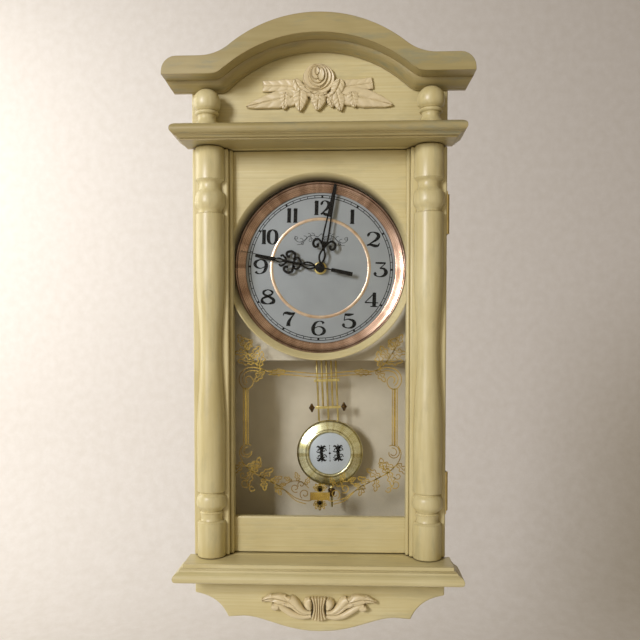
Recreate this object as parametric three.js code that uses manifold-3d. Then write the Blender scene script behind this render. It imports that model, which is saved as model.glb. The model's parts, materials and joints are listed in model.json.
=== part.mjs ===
// Pendulum wall clock: a painted wooden case with a glazed door, a quartz movement behind
// the dial and a gridiron-pattern pendulum. Millimetres, +X right, +Y into the wall, +Z up.
// The origin is the centre of the back panel's rear face, which lies flat on the wall.
import * as THREE from "three";
import { mergeVertices } from "three/addons/utils/BufferGeometryUtils.js";
import Module from "manifold-3d";

const wasm = await Module();
wasm.setup();

// ---- driving dimensions ----------------------------------------------------------------
const gap = 0.3; // between pieces that touch

// case
const caseWidth = 266;
const caseHeight = 465; // underside of the shelf to the top of the cornice
const caseDepth = 84; // wall to the front faces of the stiles
const sideThick = 8;
const backThick = 6;
const corniceThick = 16;
const shelfThick = 18;
const ledgeReach = 32; // how far cornice and shelf stand in front of the stiles
const ledgeOverhang = 5.5; // how far they stand past the case sides
const ledgeRoot = 5; // how far they reach back past the stile faces
const mouldReach = 9.5; // the moulded edge, out from its narrow lip

// pediment, crown and apron
const boardThick = 12;
const crownReach = 38;
const crownOverhang = 23; // past the case sides
const crownRise = 106; // top of the cornice to the top of the arch
const shoulderRise = 65.5;
const fasciaArchRise = 86.5;
const fasciaShoulderRise = 47.5;
const lipDrop = 8;
const archRadius = 143;
const archHalfAngle = THREE.MathUtils.degToRad(38);
const crownCornerRadius = 12;
const coveReach = 19; // depth of the cove under the fascia
const coveReturn = 5; // how far the cove cuts in at the two ends
const fasciaArchRun = 100; // half the span of the arch, at the shoulders
const finialRadius = 14;
const finialStandoff = 1.5; // finial to pediment board
const apronDrop = 62.5; // underside of the shelf to the tip of the apron
const carvingThick = 8;
const roseHalfWidth = 76;
const scrollHalfWidth = 65;

// door
const doorClearance = 0.7;
const stileWidth = 37.6;
const stileFrontThick = 12.7; // stile in front of the panels
const panelThick = 8;
const glassThick = 2.5;
const rabbetWidth = 9.6; // panels and glass run this far behind the stiles
const railHeight = 39;
const columnRadius = 15;
const columnWaist = 11.3; // radius at the slimmest point of the shaft
const waistOffset = 4; // the waist sits this far above the middle of the shaft
const shaftPlain = 60; // full thickness at each end of the shaft
const columnFoot = 70; // block, neck and bead below the shaft
const columnHead = 68.5; // and above it
const doorToCase = 0.5;
const hingeRadius = 2.4;
const hingePinRadius = 1;
const hingeLength = 42;
const hingeInset = 66; // hinge centre from each end of the door
const leafThick = 1;
const leafWidth = 17;

// dial and hands
const dialDrop = 122.5; // top of the door opening to the hand arbor
const ringRadius = 99.2; // bevelled opening in the dial mask, at its front
const ringBevel = 6.7;
const ringRim = 1;
const bezelLap = 0.8; // bezel out past the small end of the mask opening
const bezelWidth = 11.8;
const bezelDepth = 6.4;
const dialLap = 2.5; // dial card under the bezel
const dialThick = 0.5;
const dialBoardThick = 5;
const dialBoardDrop = 101; // arbor to the lower edge of the dial board
const glassToHands = 1; // door glass to the second hand
const handsToBezel = 0.5; // the minute hand sweeps in front of the bezel
const minuteInset = 2.3; // tip of the hand inside the edge of the bezel
const hourLength = 72;
const secondInset = 5.3;
const secondTail = 36;
const handThick = 0.6;
const handPitch = 1.8; // from one hand to the next, along the arbor
const minuteAngle = THREE.MathUtils.degToRad(10.6);
const hourAngle = THREE.MathUtils.degToRad(280.8);
const secondAngle = THREE.MathUtils.degToRad(282);

// movement
const moduleSize = 0.4;
const cannonTeeth = 10;
const minuteWheelTeeth = 30;
const minutePinionTeeth = 8;
const hourWheelTeeth = 32;
const wheelThick = 1.2;
const movementWidth = 56;
const movementAbove = 40; // arbor to the top of the housing
const movementBelow = 38;
const frontPlateThick = 2.5;
const batteryRelief = 0.8; // front plate to the battery
const batteryProud = 2; // battery stands out of the back of the housing
const shellWall = 2;
const bushRadius = 3.9;
const hourPipeRadius = 2.9;
const minutePipeRadius = 2;
const secondArborRadius = 0.9;
const runningGap = 0.25;
const batteryRadius = 7.2;
const batteryLength = 50;
const batteryWall = 1;
const contactThick = 1.2;
const knobRadius = 6;
const accessWidth = 100; // opening in the back panel behind the movement
const accessAbove = 48;
const accessBelow = 62;

// pendulum
const pivotAbove = 28; // pendulum pivot above the hand arbor
const pivotPinRadius = 1.2;
const pendulumLean = THREE.MathUtils.degToRad(2.4);
const strapClearance = 2.2; // back of the movement to the pendulum strap
const strapThick = 1.2;
const strapWidth = 9;
const rodRadius = 1.1;
const rodPitch = 5.4;
const rodTopClear = 26; // underside of the movement to the tops of the rods
const upperBarPlace = 0.663; // of the way from the tops of the rods to the lower crossbar
const lowerBarRise = 14.4; // top of the bob to the lower crossbar
const pendulumClearance = 40.4; // end of the stem to the bottom of the door opening
const barHeight = 3;
const barHalfLength = 14.4;
const bobRadius = 37.6;
const bobThick = 12;
const bobDiscRadius = 24.7;
const bobDiscThick = 1.2;
const bobSeatDepth = 3.6; // front of the rim to the seat of the disc
const barKnobRadius = 3.4;
const stemRadius = 1.5;
const stemLength = 24;
const nutRadius = 4;
const nutLength = 9;

// ---- places worked out from the driving dimensions ----------------------------------------
const halfWidth = caseWidth / 2;
const crownHalfWidth = halfWidth + crownOverhang;
const top = caseHeight / 2;
const bottom = -caseHeight / 2;
const openingTop = top - corniceThick;
const openingBottom = bottom + shelfThick;
const front = -caseDepth;
const ledgeBack = front + ledgeRoot;
const ledgeFront = front - ledgeReach;
const panelFront = front + stileFrontThick + gap;
const panelBack = panelFront + panelThick;
const glassFront = panelBack + gap;
const glassBack = glassFront + glassThick;
const doorBack = glassBack + gap + 0.1;
const caseFront = doorBack + doorToCase;
const doorTop = openingTop - doorClearance;
const doorBottom = openingBottom + doorClearance;
const stileInner = halfWidth - stileWidth;
const panelHalf = stileInner + rabbetWidth - gap;
const columnX = halfWidth - stileWidth / 2;
const sideInner = halfWidth - sideThick;
const dialHeight = openingTop - dialDrop;
const bezelRadius = ringRadius - ringBevel + bezelLap;
const dialRadius = bezelRadius - bezelWidth + dialLap;
const minuteLength = bezelRadius - minuteInset;
const secondLength = bezelRadius - secondInset;
const secondFront = glassBack + glassToHands;
const minuteFront = secondFront + handPitch;
const hourFront = minuteFront + handPitch;
const bezelFront = minuteFront + handThick + handsToBezel;
const dialFront = bezelFront + bezelDepth + gap;
const dialBoardFront = dialFront + dialThick + gap;
const dialBoardBack = dialBoardFront + dialBoardThick;
const movementFront = dialBoardBack + gap;
const movementDepth = frontPlateThick + batteryRelief + 2 * batteryRadius - batteryProud;
const movementBack = movementFront + movementDepth;
const wheelY = movementFront + 7;
const gearDistance = (moduleSize * (cannonTeeth + minuteWheelTeeth)) / 2;
const rodY = movementBack + strapClearance + strapThick / 2;
const pivotZ = dialHeight + pivotAbove;
// distances below the pivot
const bobDrop = pivotZ - openingBottom - pendulumClearance - stemLength - bobRadius;
const lowerBarDrop = bobDrop - bobRadius - lowerBarRise;
const rodTop = pivotAbove + movementBelow + rodTopClear;
const upperBarDrop = rodTop + upperBarPlace * (lowerBarDrop - rodTop);

// ---- shape helpers ----------------------------------------------------------------------
const group = new THREE.Group();

function outward(geometry) {
  // one closed skin of shared vertices with its faces pointing out
  const bare = geometry.clone();
  bare.deleteAttribute("normal");
  bare.deleteAttribute("uv");
  const merged = mergeVertices(bare, 1e-4);
  const p = merged.attributes.position;
  const index = merged.index.array;
  const [a, b, c] = [new THREE.Vector3(), new THREE.Vector3(), new THREE.Vector3()];
  let volume = 0;
  for (let i = 0; i < index.length; i += 3) {
    a.fromBufferAttribute(p, index[i]);
    b.fromBufferAttribute(p, index[i + 1]);
    c.fromBufferAttribute(p, index[i + 2]);
    volume += a.dot(b.cross(c));
  }
  if (volume < 0) {
    for (let i = 0; i < index.length; i += 3) {
      [index[i], index[i + 1]] = [index[i + 1], index[i]];
    }
  }
  return merged;
}

function solid(geometry) {
  const merged = outward(geometry);
  const mesh = new wasm.Mesh({
    numProp: 3,
    vertProperties: new Float32Array(merged.attributes.position.array),
    triVerts: new Uint32Array(merged.index.array),
  });
  return new wasm.Manifold(mesh);
}

function fromSolid(body) {
  const mesh = body.getMesh();
  const geometry = new THREE.BufferGeometry();
  geometry.setAttribute("position", new THREE.BufferAttribute(new Float32Array(mesh.vertProperties), 3));
  geometry.setIndex(new THREE.BufferAttribute(new Uint32Array(mesh.triVerts), 1));
  return geometry;
}

const join = (...pieces) => fromSolid(pieces.map(solid).reduce((sum, piece) => sum.add(piece)));
const cut = (base, ...tools) =>
  fromSolid(tools.map(solid).reduce((rest, tool) => rest.subtract(tool), solid(base)));
const overlap = (one, other) => fromSolid(solid(one).intersect(solid(other)));

function block(x0, x1, y0, y1, z0, z1) {
  const box = new THREE.BoxGeometry(x1 - x0, y1 - y0, z1 - z0);
  return box.translate((x0 + x1) / 2, (y0 + y1) / 2, (z0 + z1) / 2);
}

function board(shape, y0, y1, curveSegments = 16) {
  // an outline drawn in X and Z, standing between two depths
  const flat = new THREE.ExtrudeGeometry(shape, { depth: y1 - y0, bevelEnabled: false, curveSegments });
  return flat.rotateX(Math.PI / 2).translate(0, y1, 0);
}

function runAlongX(shape, x0, x1, curveSegments = 8) {
  // a profile drawn in Y and Z, run from one side to the other
  const flat = new THREE.ExtrudeGeometry(shape, { depth: x1 - x0, bevelEnabled: false, curveSegments });
  return flat.applyMatrix4(new THREE.Matrix4().set(0, 0, 1, x0, 1, 0, 0, 0, 0, 1, 0, 0, 0, 0, 0, 1));
}

function turned(points, segments = 32) {
  // radius and distance along Y
  return new THREE.LatheGeometry(points.map(([r, y]) => new THREE.Vector2(r, y)), segments);
}

const upright = (points, segments = 24) => turned(points, segments).rotateX(Math.PI / 2);

function rod(radius, y0, y1, x = 0, z = 0, segments = 16) {
  const cylinder = new THREE.CylinderGeometry(radius, radius, y1 - y0, segments);
  return cylinder.translate(x, (y0 + y1) / 2, z);
}

function uprightRod(radius, z0, z1, x = 0, y = 0, segments = 12) {
  const cylinder = new THREE.CylinderGeometry(radius, radius, z1 - z0, segments);
  return cylinder.rotateX(Math.PI / 2).translate(x, y, (z0 + z1) / 2);
}

function outline(points) {
  return new THREE.Shape(points.map(([x, z]) => new THREE.Vector2(x, z)));
}

function finish(colour, roughness, metalness = 0) {
  return new THREE.MeshStandardMaterial({ color: colour, roughness, metalness });
}

function add(name, geometry, material, parent = group) {
  const mesh = new THREE.Mesh(outward(geometry), material);
  mesh.name = name;
  parent.add(mesh);
  return mesh;
}

const paint = () => finish("#cfc391", 0.55);
const carvingPaint = () => finish("#d6c7a2", 0.6);
const panelPaint = () => finish("#b7a48c", 0.7);
const brass = () => finish("#c9a545", 0.25, 1);
const steel = () => finish("#9a9a98", 0.35, 1);
const blackPlastic = () => finish("#161616", 0.5);

// ---- case ---------------------------------------------------------------------------------
function backPanel() {
  const half = sideInner - gap;
  const [low, high] = [openingBottom + gap, openingTop - gap];
  const panel = block(-half, half, -backThick, 0, low, high);
  const access = block(-accessWidth / 2, accessWidth / 2, -backThick - 1, 1,
    dialHeight - accessBelow, dialHeight + accessAbove);
  const [pocketLow, pocketHigh] = hangerSpan();
  const pocketHalf = hangerHalf + gap;
  const pocket = block(-pocketHalf, pocketHalf, -hangerThick - gap, 1, pocketLow - gap, pocketHigh + gap);
  const cavity = block(-hangerHalf / 2, hangerHalf / 2, -backThick - 1, 1, pocketLow + 3, pocketHigh - 3);
  return cut(panel, access, pocket, cavity);
}

const hangerHalf = 20;
const hangerHeight = 24;
const hangerThick = 1.5;
const hangerInset = 6; // from the top of the back panel
const keyholeHead = 4.5;
const keyholeSlot = 2.2;

function hangerSpan() {
  const high = openingTop - gap - hangerInset;
  return [high - hangerHeight, high];
}

function hangerPlate() {
  const [low, high] = hangerSpan();
  const middle = (low + high) / 2;
  const plate = block(-hangerHalf, hangerHalf, -hangerThick, 0, low, high);
  const head = rod(keyholeHead, -hangerThick - 1, 1, 0, middle - 3);
  const slot = block(-keyholeSlot, keyholeSlot, -hangerThick - 1, 1, middle - 3, middle + 5);
  const slotEnd = rod(keyholeSlot, -hangerThick - 1, 1, 0, middle + 5);
  return cut(plate, head, slot, slotEnd);
}

function mouldedLedge(edge) {
  // a board whose front and both ends carry the same moulded edge, mitred at the corners
  const half = halfWidth + ledgeOverhang;
  const frontEdge = edge.map(([out, z]) => [ledgeFront - out, z]);
  const ends = [edge[0][1], edge[edge.length - 1][1]];
  const across = runAlongX(outline([[ledgeBack, ends[0]], ...frontEdge, [ledgeBack, ends[1]]]),
    -half - mouldReach - 1, half + mouldReach + 1);
  const right = edge.map(([out, z]) => [half + out, z]);
  const left = edge.map(([out, z]) => [-half - out, z]).reverse();
  const through = board(outline([...right, ...left]), ledgeFront - mouldReach - 1, ledgeBack + 1);
  return overlap(across, through);
}

function corniceEdge() {
  const h = corniceThick;
  return [
    [0, top - h], [0.3, top - h + 1.2], [2.2, top - h + 2], [4.6, top - h + 3.8], [5.4, top - h + 4.6],
    [7, top - h + 5], [8.8, top - h + 7.5], [mouldReach, top - h + 10], [8.6, top - h + 12.6],
    [5.8, top - 1.4], [2.6, top],
  ];
}

function shelfEdge() {
  const z = bottom;
  return [
    [6, z], [8.6, z + 1.6], [mouldReach, z + 4.6], [8.8, z + 7.6], [6.4, z + 9.6], [4, z + 11],
    [3.2, z + 12.6], [2.4, z + 13.4], [0.6, z + 13.8], [0, z + 14.6], [0, z + shelfThick],
  ];
}

function crownOutline() {
  // arch between two level shoulders, flat underneath
  const half = crownHalfWidth;
  const shoulder = top + shoulderRise;
  const crest = top + crownRise;
  const base = top + fasciaShoulderRise - lipDrop;
  const sweep = archRadius * Math.sin(archHalfAngle);
  const drop = archRadius * (1 - Math.cos(archHalfAngle));
  const fillet = (crest - drop - shoulder) / (1 - Math.cos(archHalfAngle));
  const filletEnd = sweep + fillet * Math.sin(archHalfAngle);
  const r = crownCornerRadius;
  const shape = new THREE.Shape();
  shape.moveTo(half, base);
  shape.lineTo(half, shoulder - r);
  shape.absarc(half - r, shoulder - r, r, 0, Math.PI / 2, false);
  shape.lineTo(filletEnd, shoulder);
  shape.absarc(filletEnd, shoulder + fillet, fillet, -Math.PI / 2, -Math.PI / 2 - archHalfAngle, true);
  const up = Math.PI / 2;
  shape.absarc(0, crest - archRadius, archRadius, up - archHalfAngle, up + archHalfAngle, false);
  shape.absarc(-filletEnd, shoulder + fillet, fillet, -Math.PI / 2 + archHalfAngle, -Math.PI / 2, true);
  shape.lineTo(-half + r, shoulder);
  shape.absarc(-half + r, shoulder - r, r, Math.PI / 2, Math.PI, false);
  shape.lineTo(-half, base);
  return shape;
}

function crownRelief(t) {
  // what is cut away under and beside the crown: t is 0 at the fascia and 1 at the lip
  const half = crownHalfWidth - coveReturn * t;
  const low = top + fasciaShoulderRise - lipDrop * t;
  const archTop = top + fasciaArchRise - 0.75 * lipDrop * t;
  const run = fasciaArchRun - 3 * t;
  const sag = archTop - low;
  const radius = (run * run + sag * sag) / (2 * sag);
  const angle = Math.asin(run / radius);
  const [far, above, below] = [crownHalfWidth + 10, top + crownRise, top];
  const shape = new THREE.Shape();
  shape.moveTo(-far, below);
  shape.lineTo(-far, above);
  shape.lineTo(-half, above);
  shape.lineTo(-half, low);
  shape.lineTo(-run, low);
  shape.absarc(0, archTop - radius, radius, Math.PI / 2 + angle, Math.PI / 2 - angle, true);
  shape.lineTo(half, low);
  shape.lineTo(half, above);
  shape.lineTo(far, above);
  shape.lineTo(far, below);
  return shape;
}

function crown() {
  // a deep block whose cove steps back and down to the lip
  const crownFront = front - crownReach;
  const coveFront = crownFront + crownReach - coveReach;
  const steps = 3;
  const block0 = board(crownOutline(), crownFront, front - gap, 8);
  const cuts = [board(crownRelief(0), crownFront - 1, coveFront, 8)];
  for (let i = 1; i <= steps; i += 1) {
    const y1 = i < steps ? coveFront + (i * coveReach) / steps : front + 1;
    cuts.push(board(crownRelief(i / steps), coveFront + ((i - 1) * coveReach) / steps, y1, 8));
  }
  return cut(block0, ...cuts);
}

function pedimentBoard() {
  const inset = 5;
  const base = top + gap;
  const shape = new THREE.Shape();
  const r = archRadius - inset;
  const centre = top + crownRise - archRadius;
  const shoulder = top + shoulderRise - inset;
  const angle = Math.acos((shoulder - centre) / r);
  shape.moveTo(halfWidth, base);
  shape.lineTo(halfWidth, shoulder);
  shape.lineTo(r * Math.sin(angle), shoulder);
  shape.absarc(0, centre, r, Math.PI / 2 - angle, Math.PI / 2 + angle, false);
  shape.lineTo(-halfWidth, shoulder);
  shape.lineTo(-halfWidth, base);
  return board(shape, front, front + boardThick);
}

function finial() {
  const h = fasciaShoulderRise - lipDrop - 2 * gap;
  return upright([
    [0, 0], [12.5, 0], [12.8, 2.2], [10.6, 5], [8.9, 9], [9.8, 12.2], [11.6, 13.2], [11.6, 15.4],
    [10.2, 16.6], [12.8, 19.4], [finialRadius, 24.5], [13.2, 30], [10.4, h - 3], [6, h - 0.8], [0, h],
  ], 20);
}

function apronBoard() {
  const base = bottom - gap;
  const tip = bottom - apronDrop;
  const half = halfWidth - 0.5;
  const shape = new THREE.Shape();
  shape.moveTo(half, base);
  shape.lineTo(half, tip + 40.5);
  shape.quadraticCurveTo(half - 26.5, tip + 36.5, half - 35.5, tip + 14.5);
  shape.lineTo(half - 52.5, tip + 15.7);
  shape.bezierCurveTo(half - 74.5, tip + 15.5, half - 94.5, tip, 0, tip);
  shape.bezierCurveTo(-half + 94.5, tip, -half + 74.5, tip + 15.5, -half + 52.5, tip + 15.7);
  shape.lineTo(-half + 35.5, tip + 14.5);
  shape.quadraticCurveTo(-half + 26.5, tip + 36.5, -half, tip + 40.5);
  shape.lineTo(-half, base);
  return board(shape, front, front + boardThick, 10);
}

function roseCarving() {
  // a round bloom between two sprays of leaves
  const z = top + 42;
  const half = roseHalfWidth;
  const spray = (side) => board(outline([
    [0, z + 16], [side * half * 0.5, z + 12], [side * half * 0.72, z + 9], [side * half * 0.7, z],
    [side * half, z - 17], [side * half * 0.78, z - 21], [side * half * 0.45, z - 17],
    [side * half * 0.22, z - 22], [0, z - 14],
  ]), front - gap - carvingThick / 2, front - gap);
  const bloom = rod(16.5, front - gap - carvingThick, front - gap, 0, z + 9, 24);
  const sepal = board(outline([[-12, z], [12, z], [0, z - 22]]), front - gap - carvingThick / 2, front - gap);
  return join(spray(1), spray(-1), bloom, sepal);
}

function scrollCarving() {
  // a fluted shell between two acanthus scrolls
  const z = bottom - 33;
  const half = scrollHalfWidth;
  const spray = (side) => board(outline([
    [side * 8, z - 9], [side * 24, z - 5], [side * 44, z + 3], [side * 52, z], [side * 56, z + 5],
    [side * half, z + 6], [side * half * 0.88, z + 12], [side * 44, z + 14.5], [side * 30, z + 12],
    [side * 20, z + 1], [side * 8, z + 3],
  ]), front - gap - carvingThick * 0.7, front - gap);
  const shell = board(outline([
    [-9, z - 14], [9, z - 14], [17, z + 9], [10, z + 13], [-10, z + 13], [-17, z + 9],
  ]), front - gap - carvingThick, front - gap);
  return join(spray(1), spray(-1), shell);
}

add("back_panel", backPanel(), panelPaint());
add("hanger_plate", hangerPlate(), steel());
for (const [name, side] of [["left", -1], ["right", 1]]) {
  const x0 = side < 0 ? -halfWidth : sideInner;
  const side0 = block(x0, x0 + sideThick, caseFront, 0, openingBottom + gap, openingTop - gap);
  add(`case_side_${name}`, side0, paint());
  const turnedFinial = add(`finial_${name}`, finial(), paint());
  turnedFinial.position.set(side * columnX, front - finialStandoff - finialRadius, top + gap);
}
add("case_top", block(-halfWidth, halfWidth, ledgeBack + gap, 0, openingTop, top), paint());
add("case_bottom", block(-halfWidth, halfWidth, ledgeBack + gap, 0, bottom, openingBottom), paint());
add("cornice", mouldedLedge(corniceEdge()), paint());
add("shelf", mouldedLedge(shelfEdge()), paint());
add("pediment_board", pedimentBoard(), paint());
add("crown", crown(), paint());
add("apron_board", apronBoard(), paint());
add("rose_carving", roseCarving(), carvingPaint());
add("scroll_carving", scrollCarving(), carvingPaint());

// ---- door -----------------------------------------------------------------------------------
function stile(side) {
  // L section: the wide face in front, the rabbet for panels and glass behind
  const [outer, inner] = [side * halfWidth, side * stileInner];
  const step = side * (stileInner + rabbetWidth);
  const stepY = panelFront - gap;
  const section = outline([
    [outer, -front], [inner, -front], [inner, -stepY], [step, -stepY], [step, -doorBack], [outer, -doorBack],
  ]);
  const length = doorTop - doorBottom;
  const bar = new THREE.ExtrudeGeometry(section, { depth: length, bevelEnabled: false });
  return bar.applyMatrix4(new THREE.Matrix4().set(1, 0, 0, 0, 0, -1, 0, 0, 0, 0, 1, doorBottom, 0, 0, 0, 1));
}

function shaftPoints(low, high) {
  // the shaft slims to a waist in one smooth curve and swells again
  const waist = (low + high) / 2 + waistOffset;
  const steps = 5;
  const points = [];
  for (let i = -steps; i <= steps; i += 1) {
    const run = i < 0 ? waist - low - shaftPlain : high - waist - shaftPlain;
    const swell = (1 - Math.cos((Math.PI * i) / steps)) / 2;
    points.push([columnWaist + (columnRadius - columnWaist) * swell, waist + (run * i) / steps]);
  }
  return [[columnRadius, low], ...points, [columnRadius, high]];
}

function halfColumn() {
  // turned between cornice and shelf, split down the middle and glued to the stile
  const r = columnRadius;
  const [low, high] = [doorBottom, doorTop];
  const profile = [
    [0, low], [r, low], [r, low + 37], [r - 3, low + 38.5], [r - 3.5, low + 41], [r - 2.4, low + 46],
    [r - 4.2, low + 48.6], [r - 2.6, low + 50], [r + 0.4, low + 53], [r + 1, low + 58], [r + 0.4, low + 64],
    [r - 2.2, low + 67], [r - 1.8, low + 68.6], ...shaftPoints(low + columnFoot, high - columnHead),
    [r - 2.2, high - 67], [r - 2.2, high - 64.5], [r + 0.4, high - 60], [r + 1, high - 54.5],
    [r + 0.2, high - 48], [r - 3, high - 44], [r - 3.6, high - 41], [r - 3.4, high - 36.5],
    [r - 1.2, high - 34.6], [r, high - 33], [r, high], [0, high],
  ];
  const behind = block(-2 * r, 2 * r, 0, 2 * r, low - 1, high + 1);
  return cut(upright(profile, 24), behind);
}

function maskPanel() {
  // the dial mask: square above, and a round lobe that hangs over the glass
  const lobe = ringRadius + ringRim;
  const shoulder = dialHeight - 28;
  const angle = Math.asin((dialHeight - shoulder) / lobe);
  const shape = new THREE.Shape();
  shape.moveTo(panelHalf, doorTop);
  shape.lineTo(-panelHalf, doorTop);
  shape.lineTo(-panelHalf, shoulder);
  shape.lineTo(-lobe * Math.cos(angle), shoulder);
  shape.absarc(0, dialHeight, lobe, Math.PI + angle, 2 * Math.PI - angle, false);
  shape.lineTo(panelHalf, shoulder);
  const blank = board(shape, panelFront, panelBack, 40);
  const past = 1;
  const slope = ringBevel / panelThick;
  const cone = turned([
    [0, panelFront - past], [ringRadius + slope * past, panelFront - past],
    [ringRadius - ringBevel - slope * past, panelBack + past], [0, panelBack + past],
  ], 72).translate(0, 0, dialHeight);
  return cut(blank, cone);
}

const door = new THREE.Group();
group.add(door);
for (const [name, side] of [["left", -1], ["right", 1]]) {
  add(`stile_${name}`, stile(side), paint(), door);
  const column = add(`column_${name}`, halfColumn(), paint(), door);
  column.position.set(side * columnX, front - gap, 0);
}
add("dial_mask", maskPanel(), paint(), door);
const railTop = doorBottom + railHeight;
add("bottom_rail", block(-panelHalf, panelHalf, panelFront, panelBack, doorBottom, railTop), paint(), door);
add("door_glass", block(-panelHalf, panelHalf, glassFront, glassBack, doorBottom + 0.5, doorTop - 0.5),
  finish("#dfe8e6", 0.05), door);

// ---- door furniture -------------------------------------------------------------------------
const hingeX = halfWidth + gap + leafThick + hingeRadius - 0.6;
const hingeY = (doorBack + caseFront) / 2;

function hingeLeaf(z, onDoor) {
  // a plate on the side face, with its share of the knuckle round the pin
  const [x0, x1] = [halfWidth + gap, halfWidth + gap + leafThick];
  const clear = hingeRadius + gap;
  const y0 = onDoor ? hingeY - clear - leafWidth : hingeY + clear;
  const plate = block(x0, x1, y0, y0 + leafWidth, z - hingeLength / 2, z + hingeLength / 2);
  const third = hingeLength / 3;
  const knuckles = onDoor ? [[z - third / 2, z + third / 2]]
    : [[z - hingeLength / 2, z - third / 2 - gap], [z + third / 2 + gap, z + hingeLength / 2]];
  const pieces = [plate];
  for (const [z0, z1] of knuckles) {
    pieces.push(uprightRod(hingeRadius, z0, z1, hingeX, hingeY, 16));
    const [near, far] = onDoor ? [y0 + leafWidth - 1, hingeY - 1] : [hingeY + 1, y0 + 1];
    pieces.push(block(x0, x1, near, far, z0, z1));
  }
  const bore = uprightRod(hingePinRadius + 0.15, z - hingeLength, z + hingeLength, hingeX, hingeY);
  return cut(join(...pieces), bore);
}

const hingeHeights = { upper: doorTop - hingeInset, lower: doorBottom + hingeInset };
for (const [name, z] of Object.entries(hingeHeights)) {
  add(`hinge_leaf_case_${name}`, hingeLeaf(z, false), brass());
  add(`hinge_leaf_door_${name}`, hingeLeaf(z, true), brass(), door);
  const pinHalf = hingeLength / 2 + 1;
  add(`hinge_pin_${name}`, uprightRod(hingePinRadius, z - pinHalf, z + pinHalf, hingeX, hingeY), steel());
}

const catchDrop = 110; // below the origin
const catchHeight = 22;
const catchWidth = 12;
const magnetDepth = 14.5;
const keeperThick = 0.6;
const [catchLow, catchHigh] = [-catchDrop - catchHeight / 2, -catchDrop + catchHeight / 2];
const keeperBack = doorBack + gap + keeperThick;
const magnetFront = keeperBack + gap + 0.1;
const keeper = block(-sideInner + 1, -sideInner + catchWidth, doorBack + gap, keeperBack,
  catchLow, catchHigh);
add("catch_plate", keeper, steel(), door);
const magnet = block(-sideInner + gap, -sideInner + catchWidth + 1, magnetFront, magnetFront + magnetDepth,
  catchLow, catchHigh);
add("catch_magnet", magnet, finish("#4b3a2c", 0.6));

// ---- dial -------------------------------------------------------------------------------------
function ringOnDial(points, segments) {
  return turned([...points, points[0]], segments).translate(0, 0, dialHeight);
}

const dialHole = bushRadius + 0.6;
const dialBoardHalf = sideInner - gap;
add("dial_board", cut(
  block(-dialBoardHalf, dialBoardHalf, dialBoardFront, dialBoardBack,
    dialHeight - dialBoardDrop, openingTop - gap),
  rod(dialHole, dialBoardFront - 1, dialBoardBack + 1, 0, dialHeight),
), panelPaint());
const dialBack = dialFront + dialThick;
add("dial_plate", ringOnDial([
  [dialHole, dialFront], [dialRadius, dialFront], [dialRadius, dialBack], [dialHole, dialBack],
], 64), finish("#d5d6d6", 0.45));
add("bezel", ringOnDial([
  [bezelRadius - bezelWidth, dialFront - gap], [bezelRadius - bezelWidth, dialFront - gap - 0.8],
  [bezelRadius - 1.6, bezelFront], [bezelRadius, bezelFront + 0.9], [bezelRadius, dialFront - gap],
], 64), finish("#b98d74", 0.2, 1));

// ---- hands ------------------------------------------------------------------------------------
function handOnArbor(angle) {
  const turnedGroup = new THREE.Group();
  turnedGroup.position.set(0, 0, dialHeight);
  turnedGroup.rotation.y = angle;
  group.add(turnedGroup);
  return turnedGroup;
}

function spadeHand(length, y, hub, bore) {
  // a pierced hand seen as one leaf: hub, swelling near the hub and a straight tip
  const leaf = board(outline([
    [-1.6, 0], [-3, length * 0.14], [-2, length * 0.24], [-9, length * 0.32], [-3, length * 0.42],
    [-2.2, length * 0.66], [-1.8, length], [1.8, length], [2.2, length * 0.66], [3, length * 0.42],
    [9, length * 0.32], [2, length * 0.24], [3, length * 0.14], [1.6, 0],
  ]), y, y + handThick);
  return cut(join(leaf, rod(hub, y, y + handThick)), rod(bore, y - 1, y + handThick + 1));
}

function pipe(outer, inner, y0, y1) {
  return turned([[inner, y0], [outer, y0], [outer, y1], [inner, y1], [inner, y0]], 20);
}

function gear(teeth, y, bore, x = 0) {
  // toothed wheel whose tips stay clear of the wheel it runs with
  const pitch = (moduleSize * teeth) / 2;
  const [tip, root] = [pitch - gap / 2, pitch - gap / 2 - 0.35];
  const points = [];
  for (let i = 0; i < teeth; i += 1) {
    for (const [r, part] of [[root, -0.3], [tip, -0.16], [tip, 0.16], [root, 0.3]]) {
      const a = ((i + part) * 2 * Math.PI) / teeth;
      points.push([x + r * Math.sin(a), r * Math.cos(a)]);
    }
  }
  const blank = board(outline(points), y, y + wheelThick);
  return bore > 0 ? cut(blank, rod(bore, y - 1, y + wheelThick + 1, x, 0)) : blank;
}

const hourBore = minutePipeRadius + runningGap;
const minuteBore = secondArborRadius + runningGap;
const hourArbor = handOnArbor(hourAngle);
const hourWheelY = wheelY;
const cannonY = hourWheelY + wheelThick + gap;
const hubRadius = 5.2;
const press = 0.1; // between a hand and its pipe
const hourHand = spadeHand(hourLength, hourFront, hubRadius, hourPipeRadius + press);
add("hour_hand", hourHand, blackPlastic(), hourArbor);
add("hour_wheel", join(
  pipe(hourPipeRadius, hourBore, hourFront - 0.3, hourWheelY + 0.5),
  gear(hourWheelTeeth, hourWheelY, hourPipeRadius - 0.2),
), finish("#d8d2c0", 0.5), hourArbor);

const minuteArbor = handOnArbor(minuteAngle);
const minuteHand = spadeHand(minuteLength, minuteFront, hubRadius, minutePipeRadius + press);
add("minute_hand", minuteHand, blackPlastic(), minuteArbor);
const cannonRadius = (moduleSize * cannonTeeth) / 2 - gap / 2;
add("cannon_pinion", join(
  pipe(minutePipeRadius - 0.25, minuteBore, minuteFront - 0.3, cannonY + wheelThick),
  pipe(cannonRadius, minuteBore, cannonY, cannonY + wheelThick),
), brass(), minuteArbor);

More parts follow.
